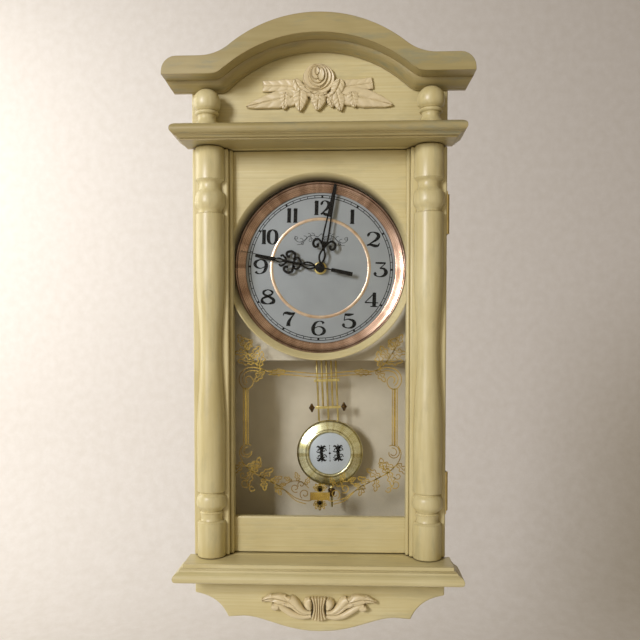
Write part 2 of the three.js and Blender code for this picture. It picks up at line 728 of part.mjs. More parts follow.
const secondArbor = handOnArbor(secondAngle);
const tailStart = 12;
const tailHalf = 1.7;
const needle = board(outline([
  [-0.7, 0], [-0.35, secondLength], [0.35, secondLength], [0.7, 0], [0.7, -tailStart],
  [tailHalf, -tailStart - 0.5], [tailHalf, -secondTail], [-tailHalf, -secondTail],
  [-tailHalf, -tailStart - 0.5], [-0.7, -tailStart],
]), secondFront, secondFront + handThick);
const secondHub = rod(3.6, secondFront, secondFront + handThick);
const secondPin = rod(secondArborRadius, secondFront, movementBack - shellWall - 1);
add("second_hand", join(needle, secondHub, secondPin), blackPlastic(), secondArbor);

// ---- movement ---------------------------------------------------------------------------------
const movement = new THREE.Group();
movement.position.z = dialHeight;
group.add(movement);
const halfMovement = movementWidth / 2;
const shellFront = movementFront + frontPlateThick;
const rearShellFront = shellFront + gap;
const batteryY = movementBack - batteryRadius + batteryProud;
const pocketOuter = halfMovement - batteryWall;
const batteryX = pocketOuter - gap - batteryRadius;
const pocketInner = batteryX - batteryRadius - gap;
const pocketTop = 17.4;
const batteryTop = pocketTop - 0.2 - contactThick - gap;
const pocketBottom = batteryTop - batteryLength - gap - contactThick - 0.2;
const knobX = -2 * gearDistance;
const knobBack = movementBack + 6.5;

function frontShell() {
  const plate = block(-halfMovement, halfMovement, movementFront, shellFront, -movementBelow, movementAbove);
  const bush = rod(bushRadius, hourFront + handThick + 0.6, movementFront + 1, 0, 0, 20);
  return cut(join(plate, bush), rod(hourPipeRadius + runningGap, hourFront - 1, shellFront + 1, 0, 0, 20));
}

function rearShell() {
  const wall = shellWall;
  const half = halfMovement;
  const housing = block(-half, half, rearShellFront, movementBack, -movementBelow, movementAbove);
  const cavity = block(-half + wall, pocketInner - wall, rearShellFront - 1, movementBack - wall,
    -movementBelow + wall, movementAbove - wall);
  const pocket = block(pocketInner, pocketOuter, rearShellFront - 1, movementBack + 1,
    pocketBottom, pocketTop);
  const knobHole = rod(1.6, movementBack - wall - 1, movementBack + 1, knobX, 0);
  const pin = rod(pivotPinRadius, movementBack - 1, rodY + strapThick / 2 + 2, 0, pivotAbove, 12);
  return join(cut(housing, cavity, pocket, knobHole), pin);
}

add("movement_front_shell", frontShell(), finish("#26282a", 0.5), movement);
add("movement_rear_shell", rearShell(), finish("#26282a", 0.5), movement);
add("mounting_nut", turned([
  [bushRadius + 0.15, dialFront - gap - 2], [7, dialFront - gap - 2], [7, dialFront - gap],
  [bushRadius + 0.15, dialFront - gap], [bushRadius + 0.15, dialFront - gap - 2],
], 24), brass(), movement);
const coilHalf = 12;
const coilFlange = (movementBack - shellWall - shellFront) / 2 - 2 * gap;
const coil = turned([
  [0, -coilHalf], [coilFlange, -coilHalf], [coilFlange, 1 - coilHalf], [3.8, 1 - coilHalf],
  [3.8, coilHalf - 1], [coilFlange, coilHalf - 1], [coilFlange, coilHalf], [0, coilHalf],
], 16).rotateZ(Math.PI / 2).translate(-9, shellFront + 2 * gap + coilFlange, -24);
add("motor_coil", coil, finish("#9c5a2b", 0.4, 0.6), movement);
add("contact_negative", block(pocketInner + 0.6, pocketOuter - 0.3, batteryY - 5, batteryY + 5,
  pocketBottom + 0.1, pocketBottom + 0.1 + contactThick), steel(), movement);
add("contact_positive", block(pocketInner + 0.6, pocketOuter - 0.3, batteryY - 5, batteryY + 5,
  pocketTop - 0.1 - contactThick, pocketTop - 0.1), steel(), movement);
add("battery", upright([
  [0, 0], [batteryRadius, 0], [batteryRadius, batteryLength - 1.6], [2.6, batteryLength - 1.6],
  [2.6, batteryLength], [0, batteryLength],
], 24).translate(batteryX, batteryY, batteryTop - batteryLength), finish("#3c6a4b", 0.4, 0.3), movement);
add("minute_wheel", join(
  gear(minuteWheelTeeth, cannonY, 0, -gearDistance), gear(minutePinionTeeth, hourWheelY, 0, -gearDistance),
  rod(0.7, hourWheelY - 1, movementBack - shellWall - 1, -gearDistance, 0, 12),
), finish("#d8d2c0", 0.5), movement);
add("setting_knob", join(
  gear(cannonTeeth, cannonY, 0, knobX), rod(1.2, cannonY, movementBack + 1, knobX, 0, 12),
  rod(knobRadius, movementBack + 0.5, knobBack, knobX, 0, 20),
), finish("#3a3c3e", 0.5), movement);

// ---- pendulum ---------------------------------------------------------------------------------
const pendulum = new THREE.Group();
pendulum.position.set(0, rodY, pivotZ);
pendulum.rotation.y = -pendulumLean;
group.add(pendulum);
const rodCount = 5;
const bobTop = -bobDrop + bobRadius;
const barThick = 1.6;
const barY = -rodRadius - gap - barThick;

function strap() {
  const low = -rodTop;
  const [y0, y1] = [-strapThick / 2, strapThick / 2];
  const reach = rodPitch * 2 + 2.4;
  const bar = block(-strapWidth / 2, strapWidth / 2, y0, y1, low, 0);
  const crossPiece = block(-reach, reach, y0, y1, low, low + 6);
  const eye = rod(strapWidth / 2 + 0.5, y0, y1, 0, 0, 24);
  return cut(join(bar, crossPiece, eye), rod(pivotPinRadius + 0.4, y0 - 1, y1 + 1));
}

function bobShell() {
  // a pressed dish with a rolled rim and a flat seat, and the threaded stem below it
  const r = bobRadius;
  const half = bobThick / 2;
  const seat = bobDiscRadius + gap;
  const dish = turned([
    [0, seatY], [seat, seatY], [seat, -half + 1.2], [seat + 1.2, -half], [seat + 4, -half + 0.4],
    [r - 4, -half + 2.6], [r - 1, -1.6], [r, 0], [r - 1, 2.2], [r - 6, half - 1.4], [r - 16, half], [0, half],
  ], 40).translate(0, 0, -bobDrop);
  const rim = -bobDrop - bobRadius;
  return join(dish, uprightRod(stemRadius, rim - stemLength, rim + 3));
}

const seatY = -bobThick / 2 + bobSeatDepth;
add("pendulum_strap", strap(), brass(), pendulum);
for (let i = 0; i < rodCount; i += 1) {
  const x = (i - (rodCount - 1) / 2) * rodPitch;
  const reachesBob = i % 2 === 0;
  const aboveBob = -bobDrop + Math.sqrt(bobRadius ** 2 - x ** 2) + 2 * gap;
  const low = reachesBob ? aboveBob : -lowerBarDrop - barHeight / 2;
  add(`pendulum_rod_${i + 1}`, uprightRod(rodRadius, low, -rodTop - gap, x), brass(), pendulum);
}
for (const [name, drop] of [["upper", upperBarDrop], ["lower", lowerBarDrop]]) {
  const [barLow, barHigh] = [-drop - barHeight / 2, -drop + barHeight / 2];
  const bar = block(-barHalfLength, barHalfLength, barY, barY + barThick, barLow, barHigh);
  add(`${name}_crossbar`, bar, brass(), pendulum);
}
for (const [name, side] of [["left", -1], ["right", 1]]) {
  const x = side * (barHalfLength + gap + barKnobRadius + 0.1);
  const knob = upright([[0, -4.9], [1.2, -4.4], [barKnobRadius, 0], [1.2, 4.4], [0, 4.9]], 16);
  const placed = knob.translate(x, barY + barThick / 2, -lowerBarDrop);
  add(`bar_knob_${name}`, placed, finish("#5a3f1c", 0.4, 0.8), pendulum);
}
add("bob_shell", bobShell(), brass(), pendulum);
const disc = rod(bobDiscRadius, seatY - gap - bobDiscThick, seatY - gap, 0, -bobDrop, 48);
add("bob_disc", disc, finish("#d9dadb", 0.4), pendulum);
const nutTop = -bobDrop - bobRadius - 3;
const nutBottom = nutTop - nutLength;
const nutBore = stemRadius + 0.15;
add("rating_nut", upright([
  [nutBore, nutBottom], [nutRadius * 0.6, nutBottom], [nutRadius, nutTop - nutLength * 0.6],
  [nutRadius, nutTop - 1.5], [nutRadius - 1, nutTop], [nutBore, nutTop], [nutBore, nutBottom],
], 20), brass(), pendulum);

export default group;
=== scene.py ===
"""The looks of a pendulum wall clock, laid out as a Blender add-on.

A cream antiqued wooden case stands around a printed dial, a spun bezel and a brass pendulum.
Meshes are modelled in millimetres in the CAD frame and turned to metres when they are finished.
"""

import json
import math

import bmesh
import bpy
from bpy.props import FloatProperty, FloatVectorProperty, PointerProperty
from mathutils import Matrix, Vector


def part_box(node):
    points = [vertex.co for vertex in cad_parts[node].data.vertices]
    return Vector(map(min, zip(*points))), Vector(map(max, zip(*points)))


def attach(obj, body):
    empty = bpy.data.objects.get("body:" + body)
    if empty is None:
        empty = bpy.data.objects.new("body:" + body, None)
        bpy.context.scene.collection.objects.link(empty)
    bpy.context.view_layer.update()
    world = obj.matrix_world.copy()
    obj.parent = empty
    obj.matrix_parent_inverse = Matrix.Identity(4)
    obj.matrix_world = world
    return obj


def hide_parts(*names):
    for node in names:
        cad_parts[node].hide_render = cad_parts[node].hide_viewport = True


bl_info = {
    "name": "Pendulum Wall Clock",
    "version": (1, 0, 0),
    "blender": (4, 5, 0),
    "location": "View3D > Sidebar > Wall Clock",
    "description": "Models a painted wall clock with a glazed door, a printed dial and a pendulum",
    "category": "Add Mesh",
}

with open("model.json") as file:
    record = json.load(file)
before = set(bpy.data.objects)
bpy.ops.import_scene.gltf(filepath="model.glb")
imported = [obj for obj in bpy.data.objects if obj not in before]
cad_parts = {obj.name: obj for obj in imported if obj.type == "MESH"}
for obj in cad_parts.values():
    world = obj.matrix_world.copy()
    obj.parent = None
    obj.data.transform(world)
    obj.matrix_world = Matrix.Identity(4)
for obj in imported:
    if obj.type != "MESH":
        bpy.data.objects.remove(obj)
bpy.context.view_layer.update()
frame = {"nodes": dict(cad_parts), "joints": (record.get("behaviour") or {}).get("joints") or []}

MM = 0.001
SIDES = {"left": -1, "right": 1}
JOINTS = {joint["name"]: joint for joint in frame["joints"]}


# ---- places from the frame, in millimetres ------------------------------------------------------
def span(node):
    """Lowest and highest corner of a CAD node."""
    low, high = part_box(node)
    return low / MM, high / MM


def middle(node):
    low, high = span(node)
    return (low + high) / 2


def pivot(joint):
    return Vector(JOINTS[joint]["pos_m"]) / MM


ARBOR = Vector((0, 0, middle("dial_plate").z))
DIAL_FACE = span("dial_plate")[0].y
PRINT_FRONT, PRINT_BACK = DIAL_FACE - 0.06, DIAL_FACE - 0.005
GLASS_LOW, GLASS_HIGH = span("door_glass")
PENDULUM = pivot("pendulum_swing")
LEAN = math.radians(2.4)
MINUTE_ANGLE = math.radians(10.6)
HOUR_ANGLE = math.radians(280.8)
SECOND_ANGLE = math.radians(282)
PRINT_ANGLE = math.radians(1.6)


# ---- sizes and colours that a user may change ---------------------------------------------------
def linear(hex_colour):
    """An sRGB hex colour as linear red, green, blue and alpha."""
    parts = [int(hex_colour[i : i + 2], 16) / 255 for i in (1, 3, 5)]
    return [c / 12.92 if c <= 0.04045 else ((c + 0.055) / 1.055) ** 2.4 for c in parts] + [1.0]


def length(name, text, millimetres):
    return FloatProperty(name=name, description=text, default=millimetres * MM, unit="LENGTH", min=0)


def paint(name, text, hex_colour):
    return FloatVectorProperty(
        name=name, description=text, default=linear(hex_colour), size=4, subtype="COLOR", min=0, max=1
    )


class ClockSizes(bpy.types.PropertyGroup):
    board_edge: length("Board edge", "Rounding of the sawn boards", 1.2)
    crown_edge: length("Crown edge", "Rounding of the crown's front edges", 2.0)
    metal_edge: length("Metal edge", "Rounding of small metal and plastic parts", 0.25)
    rose_radius: length("Rose radius", "Radius of the carved bloom", 16.5)
    numeral_height: length("Numeral height", "Height of the dial's numerals", 15.8)
    numeral_ring: length("Numeral ring", "Radius of the circle that the numerals stand on", 65.5)
    track_radius: length("Minute track", "Radius of the middle of the minute track", 77.6)
    ring_radius: length("Inlaid ring", "Radius of the metal ring inside the numerals", 53.4)
    gilt_line: length("Gilt line", "Width of the printed lines on the door glass", 1.0)


class ClockColours(bpy.types.PropertyGroup):
    cream: paint("Cream paint", "Top coat of the case", "#DCD19F")
    ochre: paint("Deeper cream", "Where the brushed coat lies thicker", "#CBBC83")
    wear: paint("Wear", "Grey-green undercoat at rubbed places", "#8E8F74")
    # The glaze colour is also painted shade: it is laid wherever ambient occlusion finds grooves, recesses
    # and gaps.
    glaze: paint("Glaze", "Brown wax left in the grooves", "#7C6530")
    carving: paint("Carving", "Cast ornaments", "#E6D6AC")
    liner: paint("Liner", "Board behind the pendulum", "#DACCB4")
    card: paint("Dial card", "Silvery printed card", "#A3A5A7")
    gilt: paint("Gilt", "Ornament printed on the glass", "#E3BE58")
    wall: paint("Backdrop", "Pale wall and floor", "#E4E0DA")


# ---- materials ------------------------------------------------------------------------------------
def add_node(tree, kind, inputs=None, stops=None, **settings):
    """Adds one node. An input is a value or another node's socket; stops are a colour ramp's."""
    node = tree.nodes.new(kind)
    for name, value in settings.items():
        setattr(node, name, value)
    for name, value in (inputs or {}).items():
        if isinstance(value, bpy.types.NodeSocket):
            tree.links.new(value, node.inputs[name])
        else:
            node.inputs[name].default_value = value
    if stops:
        ramp = node.color_ramp
        while len(ramp.elements) < len(stops):
            ramp.elements.new(1.0)
        for element, (at, colour) in zip(ramp.elements, stops):
            element.position = at
            element.color = colour if len(colour) == 4 else linear(colour)
    return node


MIX_FACTOR, MIX_ONE, MIX_OTHER, MIX_RESULT = 0, 6, 7, 2
BLACK = (0, 0, 0, 1)


def begin(name):
    """A new material: itself, its tree, its Principled shader and its Object coordinates."""
    material = bpy.data.materials.new(name)
    material.use_nodes = True
    tree = material.node_tree
    place = add_node(tree, "ShaderNodeTexCoord").outputs["Object"]
    return material, tree, tree.nodes["Principled BSDF"], place


def finish_with(tree, shader, height, strength, depth_mm):
    """Feeds a height pattern to the shader's normal, depth_mm deep."""
    bump = add_node(tree, "ShaderNodeBump", {
        "Height": height, "Strength": strength, "Distance": depth_mm * MM,
    })
    tree.links.new(bump.outputs["Normal"], shader.inputs["Normal"])


def antiqued_wood(name, brush, light, deep, glaze_and_shade_strength=0.8, wear_amount=1.0, painted_shade=None):
    """Chalk paint brushed on poplar, rubbed back and waxed brown.

    The eye sees long brush streaks, cloudy patches, grey-green rubbed places and dark grooves. The brown
    glaze is laid by ambient occlusion and along eased edges, so it is glaze and painted shade in one.
    brush is the size of a brush streak along X, Y and Z, in millimetres. The last argument, if given,
    paints a dark brown shadow onto part of the piece.
    """
    colours = bpy.context.scene.clock_colours
    material, tree, shader, place = begin(name)
    streak_place = add_node(tree, "ShaderNodeMapping", {
        "Vector": place, "Scale": [1 / (size * MM) for size in brush],
    })
    streaks = add_node(tree, "ShaderNodeTexNoise", {
        "Vector": streak_place.outputs["Vector"], "Scale": 1.0, "Detail": 4.0, "Roughness": 0.6,
    })
    clouds = add_node(tree, "ShaderNodeTexNoise", {  # patches about 70 mm across
        "Vector": place, "Scale": 14.0, "Detail": 3.0, "Roughness": 0.55,
    })
    brushed = add_node(tree, "ShaderNodeMath", {0: streaks.outputs["Fac"], 1: clouds.outputs["Fac"]},
                       operation="MULTIPLY")
    coat = add_node(tree, "ShaderNodeValToRGB", {"Fac": brushed.outputs[0]},
                    stops=[(0.1, deep), (0.42, light)])
    worn_place = add_node(tree, "ShaderNodeMapping", {
        "Vector": place, "Scale": [1 / ((9 + 0.6 * size) * MM) for size in brush],
    })
    worn = add_node(tree, "ShaderNodeTexNoise", {
        "Vector": worn_place.outputs["Vector"], "Scale": 1.0, "Detail": 5.0, "Roughness": 0.65,
    })
    worn_share = add_node(tree, "ShaderNodeValToRGB", {"Fac": worn.outputs["Fac"]},
                          stops=[(0.52, BLACK), (0.72, (0.55 * wear_amount,) * 3 + (1,))])
    rubbed = add_node(tree, "ShaderNodeMix", {
        MIX_FACTOR: worn_share.outputs["Color"], MIX_ONE: coat.outputs["Color"], MIX_OTHER: colours.wear,
    }, data_type="RGBA")
    # Glaze and painted shade in one: ambient occlusion darkens grooves, recesses and gaps between parts.
    grooves = add_node(tree, "ShaderNodeAmbientOcclusion", {"Distance": 4 * MM}, samples=6)
    groove_glaze_and_shade = add_node(tree, "ShaderNodeValToRGB", {"Fac": grooves.outputs["AO"]},
                            stops=[(0.15, (glaze_and_shade_strength,) * 3 + (1,)), (0.6, BLACK)])
    eased = add_node(tree, "ShaderNodeBevel", {"Radius": 1.5 * MM}, samples=4)
    facing = add_node(tree, "ShaderNodeNewGeometry").outputs["Normal"]
    flatness = add_node(tree, "ShaderNodeVectorMath", {0: eased.outputs["Normal"], 1: facing},
                        operation="DOT_PRODUCT")
    edge_share = add_node(tree, "ShaderNodeValToRGB", {"Fac": flatness.outputs["Value"]},
                          stops=[(0.8, (0.75 * glaze_and_shade_strength,) * 3 + (1,)), (0.97, BLACK)])
    glaze_and_shade_share = add_node(tree, "ShaderNodeMath", {0: groove_glaze_and_shade.outputs["Color"],
                                                  1: edge_share.outputs["Color"]}, operation="MAXIMUM")
    waxed = add_node(tree, "ShaderNodeMix", {
        MIX_FACTOR: glaze_and_shade_share.outputs[0], MIX_ONE: rubbed.outputs[MIX_RESULT],
        MIX_OTHER: colours.glaze,
    }, data_type="RGBA")
    # Painted shadow: a dark brown mixed over the piece where the given mask says it lies in shade.
    if painted_shade:
        waxed = add_node(tree, "ShaderNodeMix", {
            MIX_FACTOR: painted_shade(tree, place), MIX_ONE: waxed.outputs[MIX_RESULT],
            MIX_OTHER: linear("#3A2C15"),
        }, data_type="RGBA")
    tree.links.new(waxed.outputs[MIX_RESULT], shader.inputs["Base Color"])
    gloss = add_node(tree, "ShaderNodeMapRange", {
        "Value": streaks.outputs["Fac"], "To Min": 0.3, "To Max": 0.46,
    })
    tree.links.new(gloss.outputs["Result"], shader.inputs["Roughness"])
    shader.inputs["Coat Weight"].default_value = 0.12
    shader.inputs["Coat Roughness"].default_value = 0.3
    finish_with(tree, shader, streaks.outputs["Fac"], 0.2, 0.12)
    return material


def antiqued_upright():
    colours = bpy.context.scene.clock_colours
    return antiqued_wood("antiqued_poplar_upright", (1.6, 1.6, 70), colours.cream, colours.ochre, 0.8, 0.35)


def antiqued_level():
    colours = bpy.context.scene.clock_colours
    return antiqued_wood("antiqued_poplar_level", (70, 1.6, 1.6), colours.cream, colours.ochre, 0.8, 0.4)


def shade_round_opening(tree, place):
    """How much painted shadow lies on the dial opening's bevel: most at its inner edge and towards the upper
    left.
    """
    rim = ARBOR.z - span("dial_mask")[0].z
    away = add_node(tree, "ShaderNodeVectorMath", {0: place, 1: ARBOR * MM}, operation="SUBTRACT")
    across = add_node(tree, "ShaderNodeVectorMath", {0: away.outputs[0], 1: (1, 0, 1)},
                      operation="MULTIPLY")
    radius = add_node(tree, "ShaderNodeVectorMath", {0: across.outputs[0]}, operation="LENGTH")
    inward = add_node(tree, "ShaderNodeMapRange", {
        "Value": radius.outputs["Value"], "From Min": (rim - 1.2) * MM, "From Max": (rim - 6.5) * MM,
        "To Max": 0.94,
    })
    upward = add_node(tree, "ShaderNodeVectorMath", {0: away.outputs[0], 1: (-0.45, 0, 0.89)},
                      operation="DOT_PRODUCT")
    upper = add_node(tree, "ShaderNodeMapRange", {
        "Value": upward.outputs["Value"], "From Min": -38 * MM, "From Max": 26 * MM,
    })
    share = add_node(tree, "ShaderNodeMath", {0: inward.outputs["Result"], 1: upper.outputs["Result"]},
                     operation="MULTIPLY")
    return share.outputs[0]


def antiqued_mask():
    """The dial mask: its bevel is painted brown, which stands for glaze and for shadow there.

    The shade is part of the surface, so it stays where it is when the light changes.
    """
    colours = bpy.context.scene.clock_colours
    return antiqued_wood("antiqued_poplar_mask_painted_shadow", (70, 1.6, 1.6), colours.cream, colours.ochre, 0.8, 0.4,
                         shade_round_opening)


def antiqued_crown():
    """The same paint in a darker, greener tone, and more smudged, on the crown and cornice."""
    return antiqued_wood("antiqued_poplar_crown", (70, 1.6, 5), linear("#B5A674"), linear("#A2935F"),
                         0.9, 1.5)


def antiqued_turned():
    colours = bpy.context.scene.clock_colours
    return antiqued_wood("antiqued_poplar_turned", (5, 5, 60), colours.cream, colours.ochre, 0.85, 0.5)


def cast_carving():
    """Resin castings under the same paint: mottled, not streaked, with less glaze and painted shade, and less
    worn.
    """
    colours = bpy.context.scene.clock_colours
    return antiqued_wood("painted_resin_casting", (6, 6, 6), colours.carving, linear("#DACA9C"), 0.65, 0.15)


def liner_board():
    """Paper-faced hardboard, wiped with thin paint: flat, faintly mottled, barely any shine."""
    colours = bpy.context.scene.clock_colours
    material, tree, shader, place = begin("paper_faced_hardboard")
    mottle = add_node(tree, "ShaderNodeTexNoise", {  # patches about 30 mm across
        "Vector": place, "Scale": 33.0, "Detail": 6.0, "Roughness": 0.6,
    })
    coat = add_node(tree, "ShaderNodeValToRGB", {"Fac": mottle.outputs["Fac"]},
                    stops=[(0.3, "#CDBFA6"), (0.7, colours.liner)])
    tree.links.new(coat.outputs["Color"], shader.inputs["Base Color"])
    fibre = add_node(tree, "ShaderNodeTexNoise", {  # paper fibre, drawn 1 mm coarse so that it shows
        "Vector": place, "Scale": 1000.0, "Detail": 2.0,
    })
    gloss = add_node(tree, "ShaderNodeMapRange", {
        "Value": fibre.outputs["Fac"], "To Min": 0.6, "To Max": 0.8,
    })
    tree.links.new(gloss.outputs["Result"], shader.inputs["Roughness"])
    finish_with(tree, shader, fibre.outputs["Fac"], 0.2, 0.08)
    return material


def metal(name, light, dark, roughness, spread_mm, scratch_mm=(0.5, 0.5, 9), bump=0.06):
    """A bare metal whose tarnish clouds are spread_mm wide and whose polishing marks run one way."""
    material, tree, shader, place = begin(name)
    tarnish = add_node(tree, "ShaderNodeTexNoise", {
        "Vector": place, "Scale": 1 / (spread_mm * MM), "Detail": 5.0, "Roughness": 0.6,
    })
    tint = add_node(tree, "ShaderNodeValToRGB", {"Fac": tarnish.outputs["Fac"]},
                    stops=[(0.32, dark), (0.62, light)])
    tree.links.new(tint.outputs["Color"], shader.inputs["Base Color"])
    shader.inputs["Metallic"].default_value = 1.0
    scratch_place = add_node(tree, "ShaderNodeMapping", {
        "Vector": place, "Scale": [1 / (size * MM) for size in scratch_mm],
    })
    scratches = add_node(tree, "ShaderNodeTexNoise", {
        "Vector": scratch_place.outputs["Vector"], "Scale": 1.0, "Detail": 3.0,
    })
    gloss = add_node(tree, "ShaderNodeMapRange", {
        "Value": scratches.outputs["Fac"], "To Min": roughness * 0.75, "To Max": roughness * 1.35,
    })
    tree.links.new(gloss.outputs["Result"], shader.inputs["Roughness"])
    finish_with(tree, shader, scratches.outputs["Fac"], bump, 0.03)
    return material


def spun_metal(name, centre_mm, light, dark, roughness, groove_mm=0.7, fans=5.0):
    """Sheet metal spun on a lathe: fine rings round its centre, and a painted reflection of light and dark
    streaks that fan out from it.
    """
    material, tree, shader, place = begin(name)
    centred = add_node(tree, "ShaderNodeMapping", {
        "Vector": place, "Location": [-c * MM for c in centre_mm], "Scale": (1, 0, 1),
    })
    from_centre = add_node(tree, "ShaderNodeVectorMath", {0: centred.outputs["Vector"]}, operation="LENGTH")
    turns = add_node(tree, "ShaderNodeMath", {0: from_centre.outputs["Value"], 1: 1 / (groove_mm * MM)},
                     operation="MULTIPLY")
    rings = add_node(tree, "ShaderNodeTexNoise", {"W": turns.outputs[0], "Scale": 1.0, "Detail": 2.0},
                     noise_dimensions="1D")
    axes = add_node(tree, "ShaderNodeSeparateXYZ", {"Vector": centred.outputs["Vector"]})
    turned = add_node(tree, "ShaderNodeMath", {0: axes.outputs["Z"], 1: axes.outputs["X"]},
                      operation="ARCTAN2")
    painted_reflection_fan = add_node(tree, "ShaderNodeTexNoise", {"W": turned.outputs[0], "Scale": fans, "Detail": 4.0},
                   noise_dimensions="1D")  # painted reflection: light and dark streaks fanning round the centre, wide as a finger
    tint = add_node(tree, "ShaderNodeValToRGB", {"Fac": painted_reflection_fan.outputs["Fac"]},
                    stops=[(0.35, dark), (0.6, light)])
    tree.links.new(tint.outputs["Color"], shader.inputs["Base Color"])
    shader.inputs["Metallic"].default_value = 1.0
    gloss = add_node(tree, "ShaderNodeMapRange", {
        "Value": rings.outputs["Fac"], "To Min": roughness * 0.7, "To Max": roughness * 1.4,
    })
    tree.links.new(gloss.outputs["Result"], shader.inputs["Roughness"])
    finish_with(tree, shader, rings.outputs["Fac"], 0.12, 0.03)
    return material


def brass():
    """Lacquered drawn brass: warm yellow, bright, with browner tarnish between the shine."""
    return metal("lacquered_drawn_brass", "#F3DF9A", "#D6BB6E", 0.34, 18)


def bob_brass():
    """Spun and polished brass dish: soft reflections with fine rings in them, and painted reflection streaks
    round its centre.
    """
    return spun_metal("spun_polished_brass", middle("bob_disc"), "#F3ECC4", "#D8CB92", 0.26)


def rose_bezel():
    """Anodised aluminium in rose gold, spun: painted reflections run round the dial in light and dark
    stretches.
    """
    return spun_metal("rose_anodised_aluminium", ARBOR, "#C8A38C", "#9A7660", 0.25, fans=4.0)


def bronze():
    """Cast bronze knobs, browned: dark hollows and a dull shine on the swell."""
    return metal("browned_cast_bronze", "#7A5A2E", "#4A3415", 0.38, 3, (1, 1, 1), 0.2)


def zinc_steel():
    """Zinc-plated pressed steel: cool grey, with cloudy patches and rolling marks."""
    return metal("zinc_plated_steel", "#B9BBBA", "#8D9090", 0.36, 6, (0.6, 0.6, 12), 0.15)


def speckled(name, light, dark, roughness, grain_mm, bump=0.25, depth_mm=0.06, metallic=0.0, coat=0.0):
    """A moulded, printed or sprayed surface with a grain of grain_mm in its colour and its shine."""
    material, tree, shader, place = begin(name)
    grain = add_node(tree, "ShaderNodeTexNoise", {
        "Vector": place, "Scale": 1 / (grain_mm * MM), "Detail": 4.0, "Roughness": 0.6,
    })
    broad = add_node(tree, "ShaderNodeTexNoise", {  # uneven tone, 25 mm across
        "Vector": place, "Scale": 40.0, "Detail": 2.0,
    })
    blend = add_node(tree, "ShaderNodeMath", {0: grain.outputs["Fac"], 1: broad.outputs["Fac"]},
                     operation="MULTIPLY")
    tint = add_node(tree, "ShaderNodeValToRGB", {"Fac": blend.outputs[0]},
                    stops=[(0.12, dark), (0.4, light)])
    tree.links.new(tint.outputs["Color"], shader.inputs["Base Color"])
    shader.inputs["Metallic"].default_value = metallic
    shader.inputs["Coat Weight"].default_value = coat
    gloss = add_node(tree, "ShaderNodeMapRange", {
        "Value": grain.outputs["Fac"], "To Min": roughness * 0.8, "To Max": roughness * 1.25,
    })
    tree.links.new(gloss.outputs["Result"], shader.inputs["Roughness"])
    finish_with(tree, shader, grain.outputs["Fac"], bump, depth_mm)
    return material


def dial_card():
    """Satin metallic card: silver flake, drawn 0.5 mm coarse so that it shows."""
    colours = bpy.context.scene.clock_colours
    return speckled("satin_silver_card", colours.card, "#999B9D", 0.42, 0.5, 0.1, 0.02, 0.25)


def matt_ink(material):
    """Lowers a finish's surface reflection, so that black stays black under a lamp."""
    shader = material.node_tree.nodes["Principled BSDF"]
    shader.inputs["Specular IOR Level"].default_value = 0.12
    return material


def dial_ink():
    """Screen-printed black ink: dense and a little duller than the card."""
    return matt_ink(speckled("screen_printed_ink", "#0D0D10", "#060608", 0.45, 0.6, 0.1, 0.01))


def fine_ink():
    """Dark grey ink of the hairline ornament, a little lighter than that of the numerals."""
    return speckled("thin_printed_ink", "#2C2D32", "#202226", 0.5, 0.6, 0.1, 0.01)


def inlaid_ring():
    """Copper-coloured foil ring stamped on the card: bright where it faces the light."""
    return metal("stamped_copper_foil", "#EBCFB4", "#D3AE8E", 0.32, 9)


def gilt_print():
    """Gold paint printed on the back of the glass: warm, grainy, partly metallic."""
    colours = bpy.context.scene.clock_colours
    return speckled("screen_printed_gold", colours.gilt, "#8C6822", 0.34, 0.8, 0.2, 0.02, 0.4)


def hand_enamel():
    """Black stoved enamel on thin steel: deep black with a faint gloss."""
    return matt_ink(speckled("stoved_black_enamel", "#08080B", "#040406", 0.32, 0.9, 0.12, 0.02, 0.0, 0.08))


def bob_card():
    """Pale enamelled insert under a light clear coat."""
    return speckled("white_enamel_insert", "#C9CDD2", "#BBC0C6", 0.3, 0.8, 0.08, 0.02, 0.0, 0.3)


def housing():
    """Black ABS, injection moulded with a spark-eroded texture: matt with tiny glints."""
    return speckled("moulded_black_abs", "#26282A", "#191A1C", 0.5, 0.5, 0.5, 0.08)


def gear_nylon():
    """Natural nylon gears: waxy off-white, smooth."""
    return speckled("natural_nylon", "#E0DACA", "#CFC8B4", 0.42, 0.7, 0.15, 0.03)


def winding():
    """Enamelled copper wire: bands that repeat every 6 mm, far coarser than the wire itself."""
    material, tree, shader, place = begin("enamelled_copper_wire")
    turns = add_node(tree, "ShaderNodeTexWave", {
        "Vector": place, "Scale": 50.0, "Distortion": 0.4, "Detail": 2.0,
    }, bands_direction="X")
    tint = add_node(tree, "ShaderNodeValToRGB", {"Fac": turns.outputs["Fac"]},
                    stops=[(0.2, "#7C3F1B"), (0.75, "#C07A45")])
    tree.links.new(tint.outputs["Color"], shader.inputs["Base Color"])
    shader.inputs["Metallic"].default_value = 0.85
    shader.inputs["Roughness"].default_value = 0.3
    finish_with(tree, shader, turns.outputs["Fac"], 0.6, 0.12)
    return material


